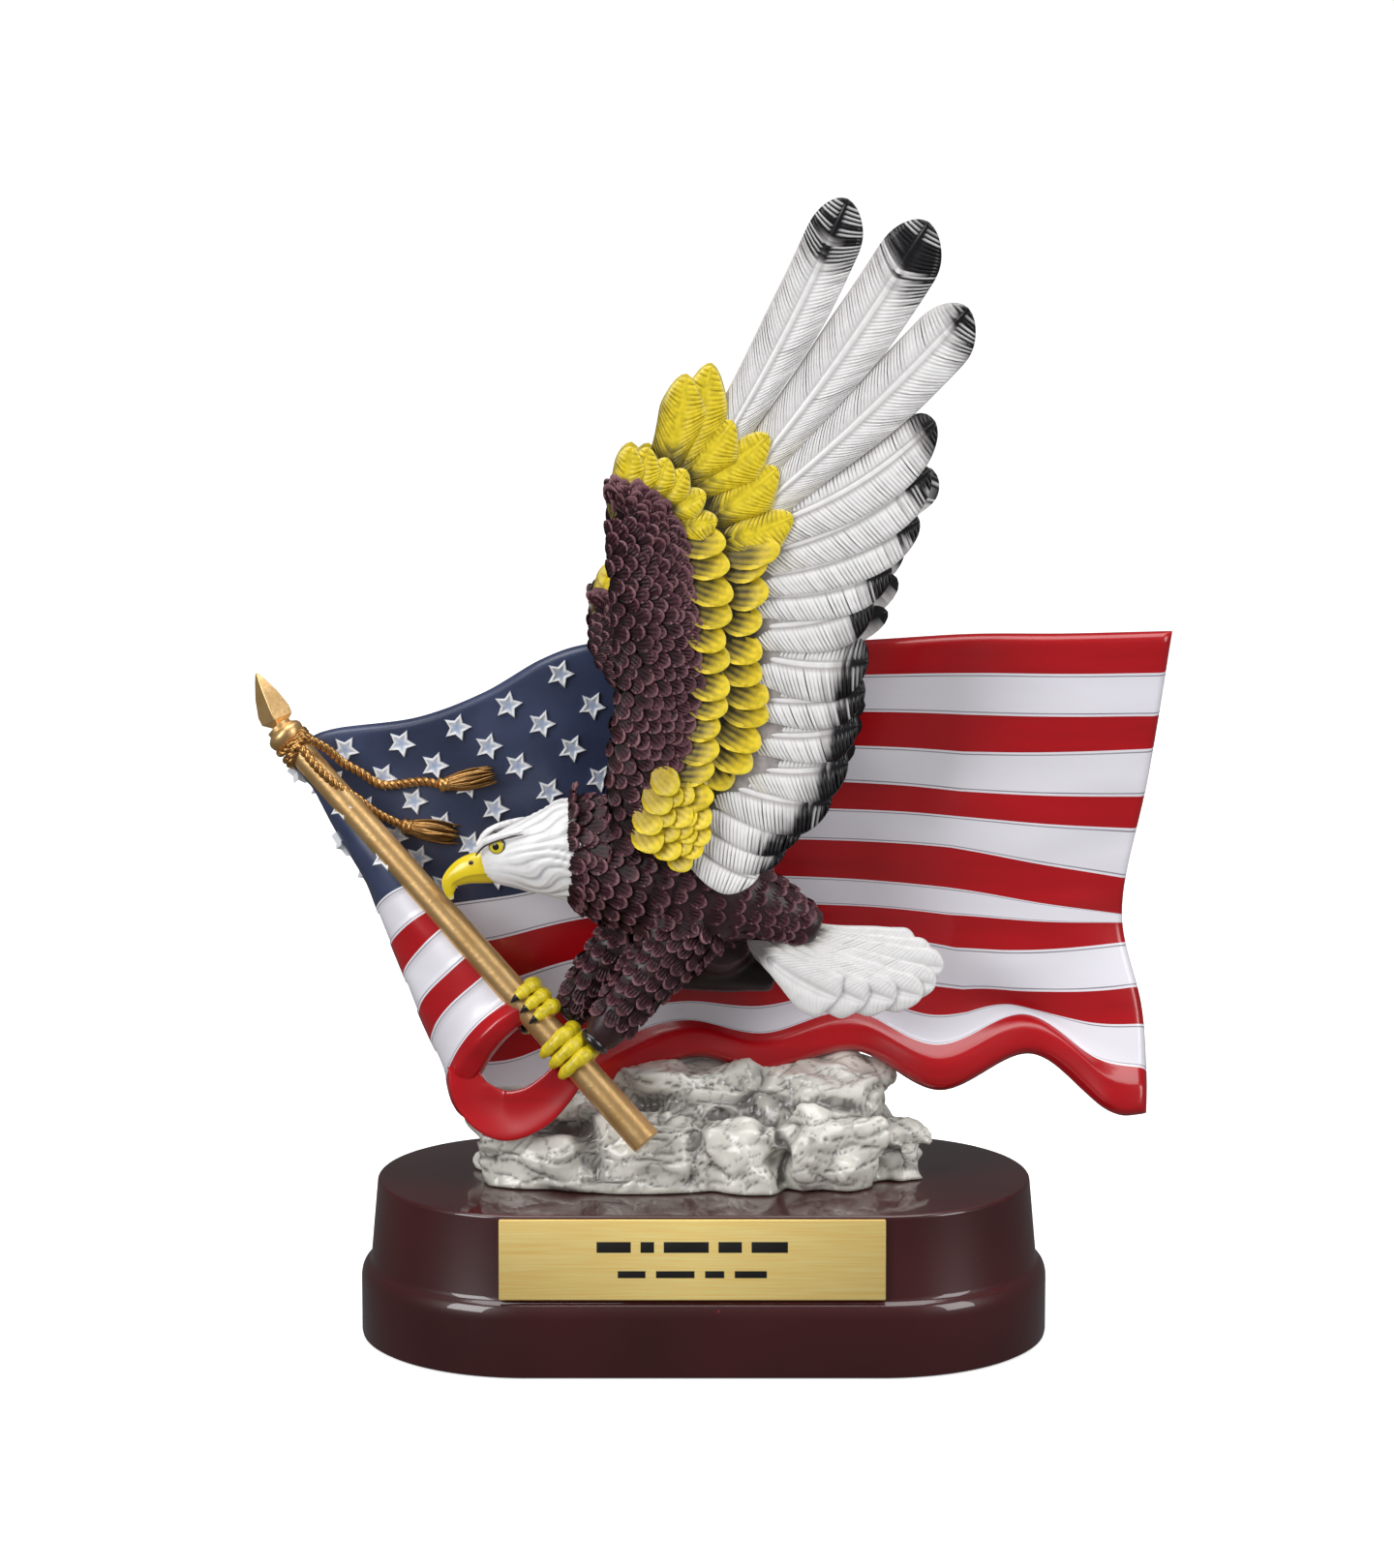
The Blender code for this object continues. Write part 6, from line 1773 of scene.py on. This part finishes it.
def make_eyes():
    """Glossy domes with a black pupil, a yellow iris and a dark rim, under a heavy brow."""
    eyes, brows = Pile(), Pile()
    for side in (-1, 1):
        middle = np.array((EYE_X, SPINE_Y + side * (EYE_SPREAD + 0.5), EYE_Z))
        out = unit(np.array((-0.25, side * 1.0, 0.05)))
        up = unit(np.cross(out, (1.0, 0.0, 0.0)))
        right = np.cross(up, out)
        rings, paint = [], []
        a = turns(EYE_SIDES)[:, None]
        for share, high, colour in EYE_RINGS:
            rings.append(middle + (right * np.cos(a) + up * np.sin(a)) * share * EYE_RADIUS + out * high)
            paint.append(plain(colour, EYE_SIDES))
        eyes.add_tube(np.array(rings), np.concatenate(paint + [[PUPIL], [PUPIL]]))
        line = even_points([(x, SPINE_Y + side * y, z) for x, y, z in BROW_LINE], BROW_STEPS)
        radii = 0.95 * np.sin(np.linspace(0.35, math.pi - 0.12, BROW_STEPS)) ** 0.7
        brows.add_tube(tube_points(line, radii, 12), FEATHER_WHITE)
        under = line + np.array((0.0, side * 0.35, -0.75))
        brows.add_tube(tube_points(under, radii * 0.36, 8), BROW_SHADE)
    eye = eyes.finish("eyes", [GLOSS_PAINT])
    brow = brows.finish("brows", [RESIN_PAINT])


# Eagle: tail and feet

def make_tail():
    """Long feathers side by side from the rump, the lower ones in front, out of a smoky transition."""
    pile = Pile()
    for k, (root, tip, width) in enumerate(TAIL):
        root, tip = np.array(root), np.array(tip)
        root = root - unit(tip - root) * TAIL_REACH_BACK
        length = np.linalg.norm(tip - root)
        verts, faces, info = feather_shape(root, tip, TAIL_FACE, width * 0.5, width * 0.5, seed=200 + k,
                                           bow=0.05 * length, **TAIL_STYLE)
        smoke = smooth_step(8.5, 5.0, length - info["from_tip"] + 0.8 * info["barb"])
        pile.add(verts, faces, blend(flight_paint(info, 0.0, shade_amount=0.3), TAIL_SMOKE, 0.92 * smoke))
    tail = pile.finish("tail_feathers", [WHITE_PAINT], 70)


def toe_line(middle, start, end, grip, steps):
    """Points round the pole, between two angles in degrees from the leg's side."""
    _, front, side = pole_axes()
    angle = np.radians(np.linspace(start, end, steps))[:, None]
    return middle + (side * np.cos(angle) + front * np.sin(angle)) * grip


def make_feet():
    """Toes with wrinkled joints wrapped over the pole, black talons, and a hind toe from behind."""
    along, _, _ = pole_axes()
    toes, talons = Pile(), Pile()
    grip = POLE_FOOT_RADIUS + TOE_RADIUS / 2
    t = np.linspace(0, 1, TOE_STEPS)
    wrinkle = 2 * np.pi * t * TOE_WRINKLES
    joint = 1 + 0.09 * np.cos(2 * np.pi * t * 3.5) + 0.015 * np.cos(wrinkle)
    radii = TOE_RADIUS * np.minimum(1.0, 0.62 + 0.75 * (1 - t)) * joint
    groove = np.clip(0.5 - 0.5 * np.cos(wrinkle + math.pi), 0, 1).repeat(TOE_SIDES)
    paint = blend(plain(FOOT_YELLOW, groove.size), FOOT_SHADE, 0.22 * groove)
    claw_radii = radii[-1] * 0.95 * np.linspace(1.0, 0.12, TALON_STEPS) ** 0.8
    for share, toe_turn in zip(FEET, TOE_TURNS):
        centre = POLE_TOP + (POLE_FOOT - POLE_TOP) * share
        runs = [(centre + along * TOE_SPACING * (toe - 1), *toe_turn) for toe in range(3)]
        runs.append((centre + along * TOE_SPACING * 0.9, *HIND_TOE_TURN))
        for middle, start, end in runs:
            rings = tube_points(toe_line(middle, start, end, grip, TOE_STEPS), radii, TOE_SIDES, along)
            toes.add_tube(rings, np.concatenate([paint, [FOOT_YELLOW, FOOT_SHADE]]))
            step = (end - start) / TOE_STEPS
            claw = toe_line(middle, end - step, end + math.copysign(TALON_TURN, step), grip, TALON_STEPS)
            talons.add_tube(tube_points(claw, claw_radii, 14, along), TALON_BLACK)
    yellow = toes.finish("eagle_toes", [TOE_PAINT])
    black = talons.finish("talons", [GLOSS_PAINT])


def make_ankles():
    """A glossy black band where each leg meets its foot."""
    pile = Pile()
    for line in (NEAR_LEG, FAR_LEG):
        a, b = np.array(line[-2][0]), np.array(line[-1][0])
        along = unit(b - a)
        spots = [b + along * place for place, _ in ANKLE_BAND]
        radii = [share * line[-1][1] for _, share in ANKLE_BAND]
        pile.add_tube(tube_points(spots, radii, 24, (1, 0, 0)), ANKLE_BLACK)
    bands = pile.finish("ankle_bands", [GLOSS_PAINT])


def make_eagle():
    """The body under its feathers, both wings, the head, the tail and the feet."""
    tree = make_body_base()
    small, coarse, fan = scale_shape(4), scale_shape(6), scale_shape(5, 0.25, 0.55, 0.80, 0.6)
    scales = Pile()
    for rows in BODY_SCALES:
        add_body_scales(scales, small, tree, *rows)
    pieces = [scales.finish("body_feathers", [BROWN_PAINT], 60)]
    for name, front, back, barb in (("near", near_place, near_back_place, 0.85),
                                    ("far", far_place, far_back_place, 1.8)):
        core, arm, flight, coverts = Pile(), Pile(), Pile(), Pile()
        add_wing_core(core, front)
        add_flight_feathers(flight, front, barb)
        for seed, place in enumerate((front, back)):
            add_arm_scales(arm, small, coarse, place, 10 + seed)
            add_coverts(coverts, place, barb + 0.6 * seed, fan)
        pieces += [core.finish(name + "_wing_core", [RESIN_PAINT]),
                   arm.finish(name + "_arm_feathers", [BROWN_PAINT], 60),
                   flight.finish(name + "_flight_feathers", [WHITE_PAINT], 70),
                   coverts.finish(name + "_coverts", [RESIN_PAINT], 60)]
    make_head()
    make_beak()
    make_eyes()
    make_tail()
    make_feet()
    make_ankles()


# Studio

def aim_object(obj, place, target):
    obj.location = place
    obj.rotation_euler = (target - obj.location).to_track_quat("-Z", "Y").to_euler()


def add_softbox(name, place, aim, size, power):
    light = bpy.data.lights.new(name, "AREA")
    light.shape = "RECTANGLE"
    light.size, light.size_y = size
    light.energy = power
    aim_object(link_object(name, light), place, Vector(aim))


def make_studio():
    bpy.ops.object.select_all(action="DESELECT")
    bpy.ops.mesh.primitive_plane_add(size=12.0, location=(0, 0, -0.0002))
    floor = bpy.context.object
    floor.name = "studio_floor"
    material, nodes, links, shader = new_material("pale_floor")
    pale = object_noise(nodes, links, 2.0)
    tone = ramp(nodes, links, pale, ((0.3, (0.90, 0.90, 0.90)), (0.7, (0.93, 0.93, 0.93))))
    links.new(tone, shader.inputs["Base Color"])
    shader.inputs["Roughness"].default_value = 0.8
    floor.data.materials.append(material)
    set_inputs(shader, {"Emission Color": (1.0, 1.0, 1.0, 1.0), "Emission Strength": FLOOR_GLOW})
    floor.visible_glossy = False
    floor.visible_diffuse = False
    world = bpy.data.worlds.new("studio")
    world.use_nodes = True
    nodes, links = world.node_tree.nodes, world.node_tree.links
    sky = nodes["Background"]
    sky.inputs["Color"].default_value = (1.0, 1.0, 1.0, 1.0)
    rays = nodes.new("ShaderNodeLightPath")
    seen = remap(nodes, links, rays.outputs["Is Camera Ray"], {"To Min": SKY_FILL, "To Max": SKY_SEEN})
    mirrored = nodes.new("ShaderNodeMix")
    mirrored.inputs["B"].default_value = SKY_MIRRORED
    links.new(rays.outputs["Is Glossy Ray"], mirrored.inputs["Factor"])
    links.new(seen, mirrored.inputs["A"])
    links.new(mirrored.outputs["Result"], sky.inputs["Strength"])
    bpy.context.scene.world = world
    for name, place, size, power in SOFTBOXES:
        add_softbox(name, place, (0.0, 0.0, 0.12), size, power)


def make_camera():
    angle = math.radians(CAMERA_ELEVATION)
    camera = bpy.data.cameras.new("camera")
    camera.sensor_width = SENSOR_WIDTH
    camera.sensor_fit = "AUTO"
    camera.lens = SENSOR_WIDTH * PICTURE_SCALE * CAMERA_DISTANCE / MM / PICTURE_HEIGHT
    holder = link_object("camera", camera)
    place = CAMERA_TARGET + Vector((0, -math.cos(angle), math.sin(angle))) * CAMERA_DISTANCE
    aim_object(holder, place, CAMERA_TARGET)
    bpy.context.scene.camera = holder
    bpy.context.scene.view_settings.view_transform = "Standard"


make_camera()
make_studio()
make_plinth()
make_plate()
make_stars(*make_flag(flag_sheet(CLOTH_COLUMNS)))
make_hem_curl()
make_pole()
make_cords()
make_rocks()
make_eagle()
